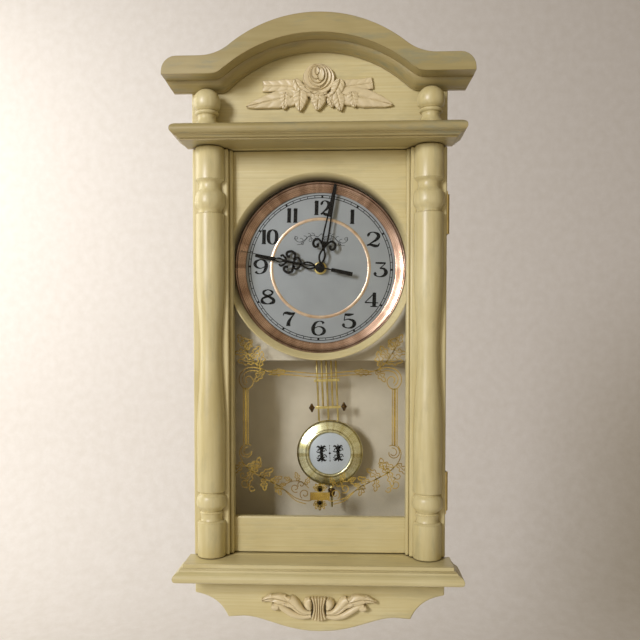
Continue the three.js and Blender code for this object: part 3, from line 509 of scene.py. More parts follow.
def battery_sleeve():
    """Shrunk plastic sleeve in plain bands: green body, brassy band, grey end, soft gloss."""
    low, high = span("battery")
    material, tree, shader, place = begin("shrunk_pvc_sleeve")
    axes = add_node(tree, "ShaderNodeSeparateXYZ", {"Vector": place})
    share = add_node(tree, "ShaderNodeMapRange", {
        "Value": axes.outputs["Z"], "From Min": low.z * MM, "From Max": high.z * MM,
    })
    wrinkles = add_node(tree, "ShaderNodeTexNoise", {  # shrink wrinkles, 4 mm
        "Vector": place, "Scale": 250.0, "Detail": 3.0,
    })
    bands = add_node(tree, "ShaderNodeValToRGB", {"Fac": share.outputs["Result"]},
                     stops=[(0.0, "#2F5E42"), (0.72, "#C9B46A"), (0.94, "#B8B8B4")])
    bands.color_ramp.interpolation = "CONSTANT"
    tree.links.new(bands.outputs["Color"], shader.inputs["Base Color"])
    gloss = add_node(tree, "ShaderNodeMapRange", {
        "Value": wrinkles.outputs["Fac"], "To Min": 0.22, "To Max": 0.42,
    })
    tree.links.new(gloss.outputs["Result"], shader.inputs["Roughness"])
    finish_with(tree, shader, wrinkles.outputs["Fac"], 0.2, 0.08)
    return material


def magnet_case():
    """Brown moulded catch body: slightly glossy polystyrene."""
    return speckled("brown_polystyrene", "#5A4634", "#463527", 0.4, 0.9, 0.2, 0.05)


def float_glass():
    """Clear float glass: see-through, mirror at grazing angles, with faint wipe marks.

    The mirror's share grows with the fourth power of how grazing the view is. Fresnel's law would
    turn the solid pane black at grazing angles, where its back face reflects totally.
    """
    face_on, grazing_more = 0.014, 0.7  # shares of the view that are mirrored
    material, tree, shader, place = begin("clear_float_glass")
    tree.nodes.remove(shader)
    smears = add_node(tree, "ShaderNodeTexNoise", {  # wiping marks, 60 mm across
        "Vector": place, "Scale": 16.0, "Detail": 4.0,
    })
    gloss = add_node(tree, "ShaderNodeMapRange", {
        "Value": smears.outputs["Fac"], "To Min": 0.01, "To Max": 0.05,
    })
    mirror = add_node(tree, "ShaderNodeBsdfGlossy", {"Roughness": gloss.outputs["Result"]})
    clear = add_node(tree, "ShaderNodeBsdfTransparent", {"Color": linear("#FDFFFE")})
    facing = add_node(tree, "ShaderNodeLayerWeight", {"Blend": 0.5}).outputs["Facing"]
    grazing = add_node(tree, "ShaderNodeMath", {0: facing, 1: 4.0}, operation="POWER")
    share = add_node(tree, "ShaderNodeMath", {0: grazing.outputs[0], 1: grazing_more, 2: face_on},
                     operation="MULTIPLY_ADD")
    pane = add_node(tree, "ShaderNodeMixShader", {
        0: share.outputs[0], 1: clear.outputs["BSDF"], 2: mirror.outputs["BSDF"],
    })
    tree.links.new(pane.outputs["Shader"], tree.nodes["Material Output"].inputs["Surface"])
    return material


def pale_wall():
    """Emulsion paint on plaster: rolled stipple, drawn 3 mm coarse so that it shows."""
    colours = bpy.context.scene.clock_colours
    return speckled("rolled_wall_emulsion", colours.wall, "#DCD7CF", 0.85, 3.0, 0.15, 0.2)


MATERIALS = {
    maker.__name__: maker for maker in (
        antiqued_upright, antiqued_level, antiqued_turned, cast_carving, liner_board, brass, bob_brass,
        antiqued_crown, antiqued_mask, rose_bezel, bronze, zinc_steel, dial_card, dial_ink, fine_ink,
        inlaid_ring, gilt_print, hand_enamel, bob_card, housing, gear_nylon, winding, battery_sleeve,
        magnet_case, float_glass, pale_wall,
    )
}
made_materials = {}


def material_of(finish):
    if finish not in made_materials:
        made_materials[finish] = MATERIALS[finish]()
    return made_materials[finish]


# ---- curves in the plane of the wall -------------------------------------------------------------
def through(points, steps=6):
    """A smooth line through the points, whatever number of values each one holds."""
    ends = [points[0]] + list(points) + [points[-1]]
    line = []
    for a, b, c, d in zip(ends, ends[1:], ends[2:], ends[3:]):
        for i in range(steps):
            t = i / steps
            line.append(tuple(
                0.5 * (2 * q + (r - p) * t + (2 * p - 5 * q + 4 * r - s) * t**2
                       + (3 * q - p - 3 * r + s) * t**3)
                for p, q, r, s in zip(a, b, c, d)
            ))
    return line + [tuple(points[-1])]


def arc(x, z, radius, start, end, steps=16, end_radius=None):
    """Points on an arc, in degrees from +X towards +Z; a second radius makes it a spiral."""
    last = radius if end_radius is None else end_radius
    points = []
    for i in range(steps + 1):
        t = i / steps
        angle = math.radians(start + (end - start) * t)
        reach = radius + (last - radius) * t
        points.append((x + reach * math.cos(angle), z + reach * math.sin(angle)))
    return points


def walk(line, share):
    """The point and the sideways direction at a share of the way along a line."""
    reach = min(max(share, 0), 1) * (len(line) - 1)
    i = min(int(reach), len(line) - 2)
    one, other = Vector(line[i][:2]), Vector(line[i + 1][:2])
    before = Vector(line[max(i - 1, 0)][:2])
    after = Vector(line[min(i + 2, len(line) - 1)][:2])
    t = reach - i
    run = ((other - before) * (1 - t) + (after - one) * t).normalized()
    return one.lerp(other, t), Vector((-run.y, run.x))


# ---- mesh tools, in millimetres --------------------------------------------------------------------
def loop_of(bm, points):
    """A closed loop of edges through the points."""
    verts = [bm.verts.new(p) for p in points]
    for one, other in zip(verts, verts[1:] + verts[:1]):
        bm.edges.new((one, other))
    return verts


def drawn_on(bm, verts, points):
    """Extrudes a closed loop of edges to the next points, and returns the new loop."""
    edges = [bm.edges.get((one, other)) for one, other in zip(verts, verts[1:] + verts[:1])]
    drawn = bmesh.ops.extrude_edge_only(bm, edges=edges)["geom"]
    fresh = {v for v in drawn if isinstance(v, bmesh.types.BMVert)}
    moved = []
    for vert, point in zip(verts, points):
        other = next(e.other_vert(vert) for e in vert.link_edges if e.other_vert(vert) in fresh)
        moved.append((other, point))
    for vert, point in moved:
        vert.co = point
    return [vert for vert, _ in moved]


def layered(bm, loops, capped=True):
    """A skin through closed loops of equal count, closed by a face at both ends or run round."""
    first = loop_of(bm, loops[0])
    verts = first
    for points in loops[1:]:
        verts = drawn_on(bm, verts, points)
    if capped:
        bm.faces.new(first)
        bm.faces.new(verts)
    else:
        bmesh.ops.remove_doubles(bm, verts=first + verts, dist=0.001)


def slab(bm, outline, front, back):
    """A board of an outline in X and Z between two depths."""
    layered(bm, [[(x, y, z) for x, z in outline] for y in (front, back)])


def lathe(bm, profile, at=(0, 0, 0), along="Z", steps=48):
    """Spins a profile of (radius, distance along the axis) round an upright or a level axis."""
    turn = Matrix() if along == "Z" else Matrix.Rotation(-math.pi / 2, 4, "X")
    verts = [bm.verts.new((r, 0, t)) for r, t in profile]
    edges = [bm.edges.new(pair) for pair in zip(verts, verts[1:])]
    bmesh.ops.spin(bm, geom=verts + edges, axis=(0, 0, 1), cent=(0, 0, 0), angle=2 * math.pi,
                   steps=steps, use_merge=True)
    reached = set(verts)
    waiting = list(verts)
    while waiting:
        for edge in waiting.pop().link_edges:
            for vert in edge.verts:
                if vert not in reached:
                    reached.add(vert)
                    waiting.append(vert)
    bmesh.ops.remove_doubles(bm, verts=list(reached), dist=0.0005)
    bmesh.ops.transform(bm, matrix=Matrix.Translation(at) @ turn, verts=[v for v in reached if v.is_valid])


def ribbon(bm, points, front, back, width=None):
    """A flat strip along points of (x, z) or (x, z, half width), between two depths."""
    half = [p[2] if len(p) > 2 else width / 2 for p in points]
    grid = bmesh.ops.create_grid(bm, x_segments=len(points) - 1, y_segments=1, size=1)["verts"]
    for vert in grid:
        share = (vert.co.x + 1) / 2
        i = round(share * (len(points) - 1))
        at, side = walk(points, share)
        place = at + side * half[i] * vert.co.y
        vert.co = (place.x, back, place.y)
    faces = list({face for vert in grid for face in vert.link_faces})
    raised = bmesh.ops.extrude_face_region(bm, geom=faces)["geom"]
    for item in raised:
        if isinstance(item, bmesh.types.BMVert):
            item.co.y = front
    if not any(edge.is_boundary for face in faces if face.is_valid for edge in face.edges):
        return
    bmesh.ops.holes_fill(bm, edges=[e for f in faces if f.is_valid for e in f.edges if e.is_boundary])


def skirted(bm, rim, seat):
    """Runs the rim of a sheet straight back to the seat and closes it there."""
    skirt = bmesh.ops.extrude_edge_only(bm, edges=rim)["geom"]
    for item in skirt:
        if isinstance(item, bmesh.types.BMVert):
            item.co.y = seat
    foot = [e for e in skirt if isinstance(e, bmesh.types.BMEdge) and e.is_boundary]
    bmesh.ops.holes_fill(bm, edges=foot)


def relief(bm, place, seat, along=18, across=10):
    """A carved sheet: place(u, v) gives each of its points, and its sides run back to the seat."""
    grid = bmesh.ops.create_grid(bm, x_segments=along, y_segments=across, size=1)["verts"]
    for vert in grid:
        vert.co = place((vert.co.x + 1) / 2, vert.co.y)
    skirted(bm, list({e for vert in grid for e in vert.link_edges if e.is_boundary}), seat)


def leaf(bm, spine, half_width, height, seat, lobes=0, blunt=0.0, veins=5):
    """A carved leaf along a spine: an almost flat blade with a cut midrib and slanting veins."""
    line = through(spine)

    def place(u, v):
        at, side = walk(line, u)
        swell = min(1, 0.5 + 2.4 * u) * max(min(1, 1.9 * (1 - u)) ** 0.75, blunt)
        tooth = (u * lobes) % 1 if lobes and 0.04 < u < 0.97 else 0
        reach = max(0.2, half_width * swell * (1 - 0.22 * tooth))
        spot = at + side * reach * v
        dome = 0.78 + 0.22 * math.sqrt(1 - v * v) - 0.2 * max(0, abs(v) - 0.86) / 0.14
        rib = 0.26 * math.exp(-((v / 0.09) ** 2))
        slant = (u * veins - abs(v) * 0.8) % 1
        vein = 0.14 * math.exp(-((slant - 0.5) / 0.16) ** 2) * min(1, abs(v) * 4) * (1 - v**8)
        return spot.x, seat - height * (1 - 0.25 * u) * (dome - rib - vein), spot.y

    relief(bm, place, seat, along=48, across=22)


def stem(bm, points, height, seat):
    """A carved half-round stem along points of (x, z, half width)."""
    line = through(points)

    def place(u, v):
        at, side = walk(line, u)
        i = min(round(u * (len(line) - 1)), len(line) - 1)
        spot = at + side * line[i][2] * v
        return spot.x, seat - height * (0.25 + 0.75 * math.sqrt(max(0, 1 - v * v))), spot.y

    relief(bm, place, seat, along=30, across=10)


def copy_of(bm, *nodes):
    """Merged copies of CAD nodes, with their flat faces made whole again."""
    for node in nodes:
        bm.from_mesh(frame["nodes"][node].data)
    bmesh.ops.scale(bm, vec=(1 / MM,) * 3, verts=bm.verts)
    bmesh.ops.remove_doubles(bm, verts=bm.verts, dist=0.01)
    bmesh.ops.dissolve_limit(bm, angle_limit=math.radians(1), verts=bm.verts, edges=bm.edges)


def made(name, bm, finish, body, stands_for=(), edge=0.0, crease=35, segments=2):
    """Turns a mesh into a finished piece in metres that rides on a body."""
    bmesh.ops.remove_doubles(bm, verts=bm.verts, dist=0.0005)
    bmesh.ops.recalc_face_normals(bm, faces=bm.faces)
    bmesh.ops.scale(bm, vec=(MM,) * 3, verts=bm.verts)
    mesh = bpy.data.meshes.new(name)
    bm.to_mesh(mesh)
    bm.free()
    mesh.shade_smooth()
    mesh.set_sharp_from_angle(angle=math.radians(crease))
    piece = bpy.data.objects.new(name, mesh)
    bpy.context.scene.collection.objects.link(piece)
    mesh.materials.append(material_of(finish))
    if edge:
        rounding = piece.modifiers.new("rounded_edges", "BEVEL")
        rounding.width = edge
        rounding.segments = segments
        rounding.limit_method = "ANGLE"
        rounding.angle_limit = math.radians(32)
        rounding.use_clamp_overlap = True
    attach(piece, body)
    if stands_for:
        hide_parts(*stands_for)
    return piece


def softened(node, finish, body, edge, crease=35):
    """A CAD node again with its sharp edges rounded."""
    bm = bmesh.new()
    copy_of(bm, node)
    return made(f"{node}_made", bm, finish, body, [node], edge, crease)


# ---- crown, mouldings and boards -------------------------------------------------------------------
def moulded_ledge(name, node, edge_profile, finish):
    """A board whose front and ends carry the same moulded edge, mitred at the corners."""
    low, high = span(node)
    reach = max(out for out, _ in edge_profile)
    loops = []
    for out, share in edge_profile:
        inset = reach - out
        z = low.z + share * (high.z - low.z)
        loops.append([
            (low.x + inset, high.y, z), (low.x + inset, low.y + inset, z),
            (high.x - inset, low.y + inset, z), (high.x - inset, high.y, z),
        ])
    bm = bmesh.new()
    layered(bm, loops)
    made(name, bm, finish, "case", [node], edge=0.4 * MM, crease=28)


class CLOCK_OT_ledges(bpy.types.Operator):
    """Models the cornice above the door and the shelf below it"""

    bl_idname = "clock.ledges"
    bl_label = "Cornice and Shelf"

    def execute(self, context):
        height = 16
        cornice = [(0, 0), (0, 1.1), (2.2, 1.9), *through([(2.4, 2.2), (3.4, 3.3), (5.2, 4.3)], 3),
                   (5.4, 5), (6.4, 5.2), *through([(6.4, 5.3), (8.6, 7), (9.5, 9.6), (8.7, 12.6),
                                                   (6, 14.8), (2.8, 16)], 4)]
        moulded_ledge("cornice_moulding", "cornice", [(out, z / height) for out, z in cornice],
                      "antiqued_crown")
        height = 18
        shelf = [*through([(6, 0), (8.6, 1.5), (9.5, 4.4), (8.8, 7.4), (6.8, 9.4)], 4), (6, 9.8),
                 *through([(5.6, 10), (4, 11), (3.3, 12.7)], 3), (2.2, 13), (2.2, 13.8), (0.2, 14),
                 (0, 14.6), (0, 18)]
        moulded_ledge("shelf_moulding", "shelf", [(out, z / height) for out, z in shelf],
                      "antiqued_level")
        return {"FINISHED"}


class CLOCK_OT_crown(bpy.types.Operator):
    """Models the arched crown with the hollow moulding under its face"""

    bl_idname = "clock.crown"
    bl_label = "Crown"

    def outline(self, t, y):
        """The section of the crown at one depth: t is 0 at the face and 1 at the lip."""
        low, high = span("crown")
        lip = 8
        shoulder = high.z - 40.5
        arch, half_angle = 143, math.radians(38)
        half = high.x - 5 * t
        base = low.z + lip * (1 - t)
        corner = 15
        drop = arch * (1 - math.cos(half_angle))
        fillet = (high.z - drop - shoulder) / (1 - math.cos(half_angle))
        fillet_x = (arch + fillet) * math.sin(half_angle)
        degrees = math.degrees(half_angle)
        under_top = high.z - 19.5 - 0.75 * lip * t
        run = 100 - 3 * t
        sag = under_top - base
        under = (run * run + sag * sag) / (2 * sag)
        under_angle = math.degrees(math.asin(run / under))
        right = arc(half - corner, shoulder - corner, corner, 0, 90, 6)
        right += arc(fillet_x, shoulder + fillet, fillet, -90, -90 - degrees, 12)
        top = arc(0, high.z - arch, arch, 90 - degrees, 90, 20)
        foot = arc(0, under_top - under, under, 90, 90 - under_angle, 32)
        blend = 9
        knee = [p for p in foot if p[0] < run - blend]
        knee += through([knee[-1], (run, base + 1.4), (run + blend, base)], 5)[1:]
        side = right + top[1:]
        mirrored = [(-x, z) for x, z in reversed(side[:-1])]
        lower = [(-x, z) for x, z in reversed(knee)] + knee[1:]
        points = side + mirrored + [(-half, base)] + lower + [(half, base)]
        return [(x, y, z) for x, z in points]

    def execute(self, context):
        low, high = span("crown")
        cove, reach = 19, high.y - low.y
        start = low.y + reach - cove
        loops = [self.outline(0, low.y), self.outline(0, start)]
        for i in range(1, 9):
            turn = math.pi / 2 * i / 8
            inward = math.sin(turn) ** 1.2 * 0.94
            loops.append(self.outline(inward, start + cove * 0.72 * (1 - math.cos(turn))))
        loops += [self.outline(1, start + cove * 0.74), self.outline(1, high.y)]
        bm = bmesh.new()
        layered(bm, loops)
        made("crown_arch", bm, "antiqued_crown", "case", ["crown"],
             edge=context.scene.clock_sizes.crown_edge, crease=30, segments=3)
        return {"FINISHED"}


class CLOCK_OT_boards(bpy.types.Operator):
    """Models the sawn boards of the case and door with their edges eased"""

    bl_idname = "clock.boards"
    bl_label = "Boards"

    def execute(self, context):
        edge = context.scene.clock_sizes.board_edge
        for node in ("case_side_left", "case_side_right"):
            softened(node, "antiqued_upright", "case", edge)
        for node in ("case_top", "case_bottom", "pediment_board", "apron_board"):
            softened(node, "antiqued_level", "case", edge, 40)
        for node in ("back_panel", "dial_board"):
            softened(node, "liner_board", "case", 0.4 * MM)
        for node in ("stile_left", "stile_right"):
            softened(node, "antiqued_upright", "door", 1.6 * MM)
        softened("bottom_rail", "antiqued_level", "door", edge)
        # a glazing bead along each stile narrows the opening a little
        pane = GLASS_LOW.y - 0.2
        for name, side in SIDES.items():
            low, high = span(f"stile_{name}")
            inner = min(abs(low.x), abs(high.x))
            bead = bmesh.new()
            slab(bead, [(side * (inner - 3.6), low.z), (side * (inner + 0.4), low.z),
                        (side * (inner + 0.4), high.z), (side * (inner - 3.6), high.z)], low.y + 6, pane)
            made(f"stile_bead_{name}", bead, "antiqued_upright", "door", edge=1.4 * MM)
        return {"FINISHED"}


class CLOCK_OT_columns(bpy.types.Operator):
    """Turns the two half columns on the door and the two finials above the cornice"""

    bl_idname = "clock.columns"
    bl_label = "Columns and Finials"

    def column_profile(self, low, high):
        r, waist = 15, 11.3
        foot = [(0, low), (r - 0.6, low), (r, low + 0.8), (r, low + 36.4), (r - 1.4, low + 38)]
        foot += through([(r - 3, low + 38.4), (r - 3.7, low + 40.8), (r - 3.2, low + 44),
                         (r - 2.4, low + 46.4)], 4)
        foot += through([(r - 4.2, low + 48.4), (r - 2.2, low + 50.6), (r + 0.5, low + 54),
                         (r + 1, low + 58.5), (r + 0.2, low + 63.6), (r - 2.4, low + 67)], 5)
        foot += [(r - 2.4, low + 68.2), (r - 0.4, low + 69.2)]
        shaft_low, shaft_high = low + 70, high - 68.5
        centre = (shaft_low + shaft_high) / 2 + 4
        shaft = []
        for i in range(-14, 15):
            run = (centre - shaft_low if i < 0 else shaft_high - centre) - 60
            swell = (1 - math.cos(math.pi * i / 14)) / 2
            shaft.append((waist + (r - waist) * swell, centre + run * i / 14))
        head = [(r, shaft_high - 0.6), (r - 0.6, shaft_high), (r - 2.3, high - 68), (r - 2.3, high - 65)]
        head += through([(r - 1.8, high - 64.2), (r + 0.6, high - 59.6), (r + 1, high - 54.4),
                         (r - 0.2, high - 48), (r - 3, high - 44), (r - 3.8, high - 41)], 5)
        head += through([(r - 3.8, high - 40.6), (r - 3.5, high - 37), (r - 1.4, high - 34.8)], 4)
        head += [(r, high - 33.4), (r, high - 0.8), (r - 0.6, high), (0, high)]
        return foot + [(r, shaft_low)] + shaft + head

    def execute(self, context):
        for side in SIDES:
            low, high = span(f"column_{side}")
            bm = bmesh.new()
            lathe(bm, self.column_profile(low.z, high.z), steps=64)
            everything = bm.verts[:] + bm.edges[:] + bm.faces[:]
            halved = bmesh.ops.bisect_plane(bm, geom=everything, plane_co=(0, 0, 0), plane_no=(0, 1, 0),
                                            clear_outer=True)["geom_cut"]
            bmesh.ops.holes_fill(bm, edges=[e for e in halved if isinstance(e, bmesh.types.BMEdge)])
            bmesh.ops.translate(bm, vec=((low.x + high.x) / 2, high.y, 0), verts=bm.verts)
            made(f"column_{side}_turned", bm, "antiqued_turned", "door",
                 [f"column_{side}"], crease=40)
            low, high = span(f"finial_{side}")
            h = high.z - low.z
            profile = [(0, 0), (12.2, 0), (12.9, 0.6), (12.9, 1.8)]
            profile += through([(12.6, 2.6), (10.4, 5.4), (8.9, 9), (9.6, 12)], 5)
            profile += through([(11.2, 12.6), (12, 14.2), (11.2, 15.8)], 4) + [(10, 16.4)]
            profile += through([(10.6, 17), (13.1, 19.8), (14, 24.6), (13.3, 30), (10.6, 34.4),
                                (6, h - 1.2), (0, h)], 6)
            bm = bmesh.new()
            lathe(bm, profile, at=((low.x + high.x) / 2, (low.y + high.y) / 2, low.z), steps=48)
            made(f"finial_{side}_turned", bm, "antiqued_turned", "case",
                 [f"finial_{side}"], crease=50)
        return {"FINISHED"}


class CLOCK_OT_mask(bpy.types.Operator):
    """Models the dial mask: a panel with a round lobe and a bevelled opening"""

    bl_idname = "clock.mask"
    bl_label = "Dial Mask"

    def execute(self, context):
        low, high = span("dial_mask")
        lobe = ARBOR.z - low.z
        shoulder = ARBOR.z - 28
        opening, back_opening = lobe - 1, lobe - 7.7
        turn = math.asin((ARBOR.z - shoulder) / lobe)
        corner = math.atan2(high.z - ARBOR.z, high.x)
        side_foot = math.atan2(shoulder - ARBOR.z, high.x)
        marks = [-math.pi / 2, -turn, side_foot, corner, math.pi / 2]
        angles = []
        for one, other, steps in zip(marks, marks[1:], (40, 1, 16, 24)):
            angles += [one + (other - one) * i / steps for i in range(steps)]
        angles += [math.pi - a for a in reversed([*angles[1:], math.pi / 2])]

        def rim(angle):
            x, z = math.cos(angle), math.sin(angle)
            if z < -math.sin(turn) + 1e-6:
                return lobe * x, lobe * z
            limits = [high.x / abs(x) if abs(x) > 1e-9 else 1e9]
            limits.append((high.z - ARBOR.z) / z if z > 1e-9 else 1e9)
            limits.append((shoulder - ARBOR.z) / z if z < -1e-9 and abs(x) * 1e9 > 1 else 1e9)
            reach = min(limits)
            return reach * x, reach * z

        def loop(points, y):
            return [(x, y, ARBOR.z + z) for x, z in points]

        outer = [rim(a) for a in angles]
        rings = {r: [(r * math.cos(a), r * math.sin(a)) for a in angles]
                 for r in (opening, opening - 0.5, back_opening + 0.4, back_opening)}
        eased = [(x * 0.997, z * 0.997) for x, z in outer]
        loops = [loop(eased, low.y), loop(rings[opening], low.y), loop(rings[opening - 0.5], low.y + 0.3),
                 loop(rings[back_opening + 0.4], high.y - 0.6), loop(rings[back_opening], high.y),
                 loop(outer, high.y), loop(outer, low.y + 0.5), loop(eased, low.y)]
        bm = bmesh.new()
        layered(bm, loops, capped=False)
        made("dial_mask_panel", bm, "antiqued_mask", "door", ["dial_mask"], crease=26)
        return {"FINISHED"}


# ---- carvings -----------------------------------------------------------------------------------
class CLOCK_OT_rose(bpy.types.Operator):
    """Models the cast rose between two sprays of leaves"""

    bl_idname = "clock.rose"
    bl_label = "Rose"

    # Petal edges from the outermost in: centre x and z, then half width and half height.
    petals = ((0, 0, 16.6, 15.8), (-1.7, 1.9, 14.8, 13.7), (-3, 2.4, 12.6, 13), (-0.7, 3, 9.6, 11.6),
              (-0.9, 3.8, 7.2, 8.9), (-2.6, 5.4, 4.4, 6.6), (2.5, 3.4, 3.4, 6.4), (-1.4, 7, 1.9, 3.9))

    def petal_height(self, x, z):
        """Height of the bloom as a share: each petal stands up at its edge and sinks to the next."""
        spreads = [math.hypot((x - px) / half, (z - pz) / high) for px, pz, half, high in self.petals]
        layer = max(i for i, spread in enumerate(spreads) if spread <= 1 or i == 0)
        inward = 1 - spreads[layer]
        nearer = min([spread - 1 for spread in spreads[layer + 1 :]] + [1.0])
        share = inward / max(inward + nearer, 1e-6)
        lip = min(1, inward / 0.04) * (1 - share) ** 0.7
        dome = math.sqrt(max(0.0, 1 - min(1, spreads[0]) ** 2))
        return 0.3 + 0.055 * layer + 0.24 * lip + 0.12 * dome

    def bloom(self, bm, centre_z, scale, seat, height):
        line = [bm.verts.new((i / 60, 0, 0)) for i in range(61)]
        edges = [bm.edges.new(pair) for pair in zip(line, line[1:])]
        bmesh.ops.spin(bm, geom=line + edges, axis=(0, 1, 0), cent=(0, 0, 0), angle=2 * math.pi,
                       steps=128, use_merge=True)
        bmesh.ops.remove_doubles(bm, verts=bm.verts, dist=0.0001)
        rim = [e for e in bm.edges if e.is_boundary]
        for vert in bm.verts:
            x, z = vert.co.x * self.petals[0][2], vert.co.z * self.petals[0][3]
            lift = height * self.petal_height(x, z)
            vert.co = (x * scale, seat - lift, centre_z + z * scale)
        skirted(bm, rim, seat)

    def execute(self, context):
        low, high = span("rose_carving")
        seat, deep = high.y, high.y - low.y
        z = low.z + 32.6  # middle of the bloom
        scale = context.scene.clock_sizes.rose_radius / MM / self.petals[0][2]
        bm = bmesh.new()
        self.bloom(bm, z, scale, seat, deep * 0.98)
        # spine from the stem outwards, half width, share of the depth and bluntness
        blades = [
            ([(-20, -8), (-38, -6.6), (-58, -6.2)], 7.4, 0.5, 0.8),
            ([(18, -9), (38, -7), (55.4, -4.6)], 7, 0.5, 0.85),
            ([(-18, -17), (-46, -21), (-75.6, -27.6)], 8.8, 0.62, 0),
            ([(18, -16), (50, -20.6), (76.4, -27.6)], 9.6, 0.62, 0),
            ([(-34, -14), (-35, -22), (-36, -31)], 6, 0.7, 0),
            ([(34, -14), (35.5, -22), (37.5, -29.6)], 6.6, 0.7, 0),
            ([(-19, -12), (-19.4, -22), (-19.6, -33.2)], 8, 0.78, 0),
            ([(19, -15), (21, -24), (22.8, -33.2)], 6.8, 0.76, 0),
            ([(12, -18), (13, -24), (14, -29.4)], 4.4, 0.66, 0),
            ([(0, -16), (-0.6, -24), (-1.6, -32.4)], 7.8, 0.8, 0),
            ([(-24.6, -0.6), (-20.5, -8.4), (-14, -13.4), (-4, -16)], 5.6, 0.72, 0.6),
            ([(-9, -14), (0, -18), (9, -16)], 4.8, 0.86, 0.6),
            ([(22.4, -1.6), (20, -9), (15.6, -16), (9.6, -20)], 6.6, 0.9, 0.65),
        ]
        for spine, half, share, blunt in blades:
            leaf(bm, [(x, z + dz) for x, dz in spine], half, deep * share, seat, blunt=blunt)
        made("rose_casting", bm, "cast_carving", "case", ["rose_carving"], crease=60)
        return {"FINISHED"}


class CLOCK_OT_scroll(bpy.types.Operator):
    """Models the fluted shell between two scrolls on the apron"""

    bl_idname = "clock.scroll"
    bl_label = "Apron Scroll"

    def shell(self, bm, top, seat, height):
        """A fan of flutes between two rolled sides, drawn in at the waist and rounded below."""
        def place(u, v):
            waist = math.sin(math.pi * min(1, u / 1.1))
            half = 8.2 - 2.8 * waist + 1.2 * u**3
            flute = abs(math.sin(math.pi * v * 2.5 + math.pi / 2))
            lip = 0.8 * flute * (1 - u) ** 5
            foot = 2.6 * (1 - v * v) * u**4
            lift = 0.66 + 0.24 * flute - 0.06 * v * v
            return v * half, seat - height * lift, top - 21 * u + lip - foot
        for side in (-1, 1):
            roll = [(side * 9, top - 0.8, 1.6), (side * 10.8, top - 3.4, 4.4), (side * 11.6, top - 6.4, 4.9),
                    (side * 10.6, top - 9.6, 3.9), (side * 8.6, top - 12, 1.6)]
            stem(bm, roll, height * 0.96, seat)
        relief(bm, place, seat, along=26, across=60)

    def execute(self, context):
        low, high = span("scroll_carving")
        seat, deep = high.y, high.y - low.y
        top = high.z - 6.4
        bm = bmesh.new()
        self.shell(bm, top, seat, deep)
        strands = [  # x, distance below the shell's top and half width
            ([(8, 15.6, 2.4), (15.5, 14.6, 3.2), (22, 9.8, 4.4), (27, 3.8, 5), (30.6, 1.2, 3.8)], 0.92),
            ([(8, 19, 2.8), (17, 20.2, 3.5), (26, 18.4, 4), (34, 13.8, 4), (41, 9.4, 3.6),
              (48, 7.6, 2.6)], 0.86),
            ([(42.6, 10, 2.4), (46.4, 10.2, 4.6), (50.2, 10.2, 2.4)], 0.98),
            ([(12, 16.8, 1.8), (20, 15.4, 2.4), (28, 9.6, 2.6), (36, 5.6, 2.4)], 0.84),
        ]
        for side in (-1, 1):
            for points, share in strands:
                stem(bm, [(side * x, top - drop, half) for x, drop, half in points], deep * share, seat)
            blade = [(24, 8.4), (33, 4.4), (44, 1.6), (53, 1.4), (60.4, 3.8)]
            leaf(bm, [(side * x, top - drop) for x, drop in blade], 6.2, deep * 0.9, seat, 3, 0.3, 3)
        made("scroll_casting", bm, "cast_carving", "case", ["scroll_carving"], crease=60)
        return {"FINISHED"}


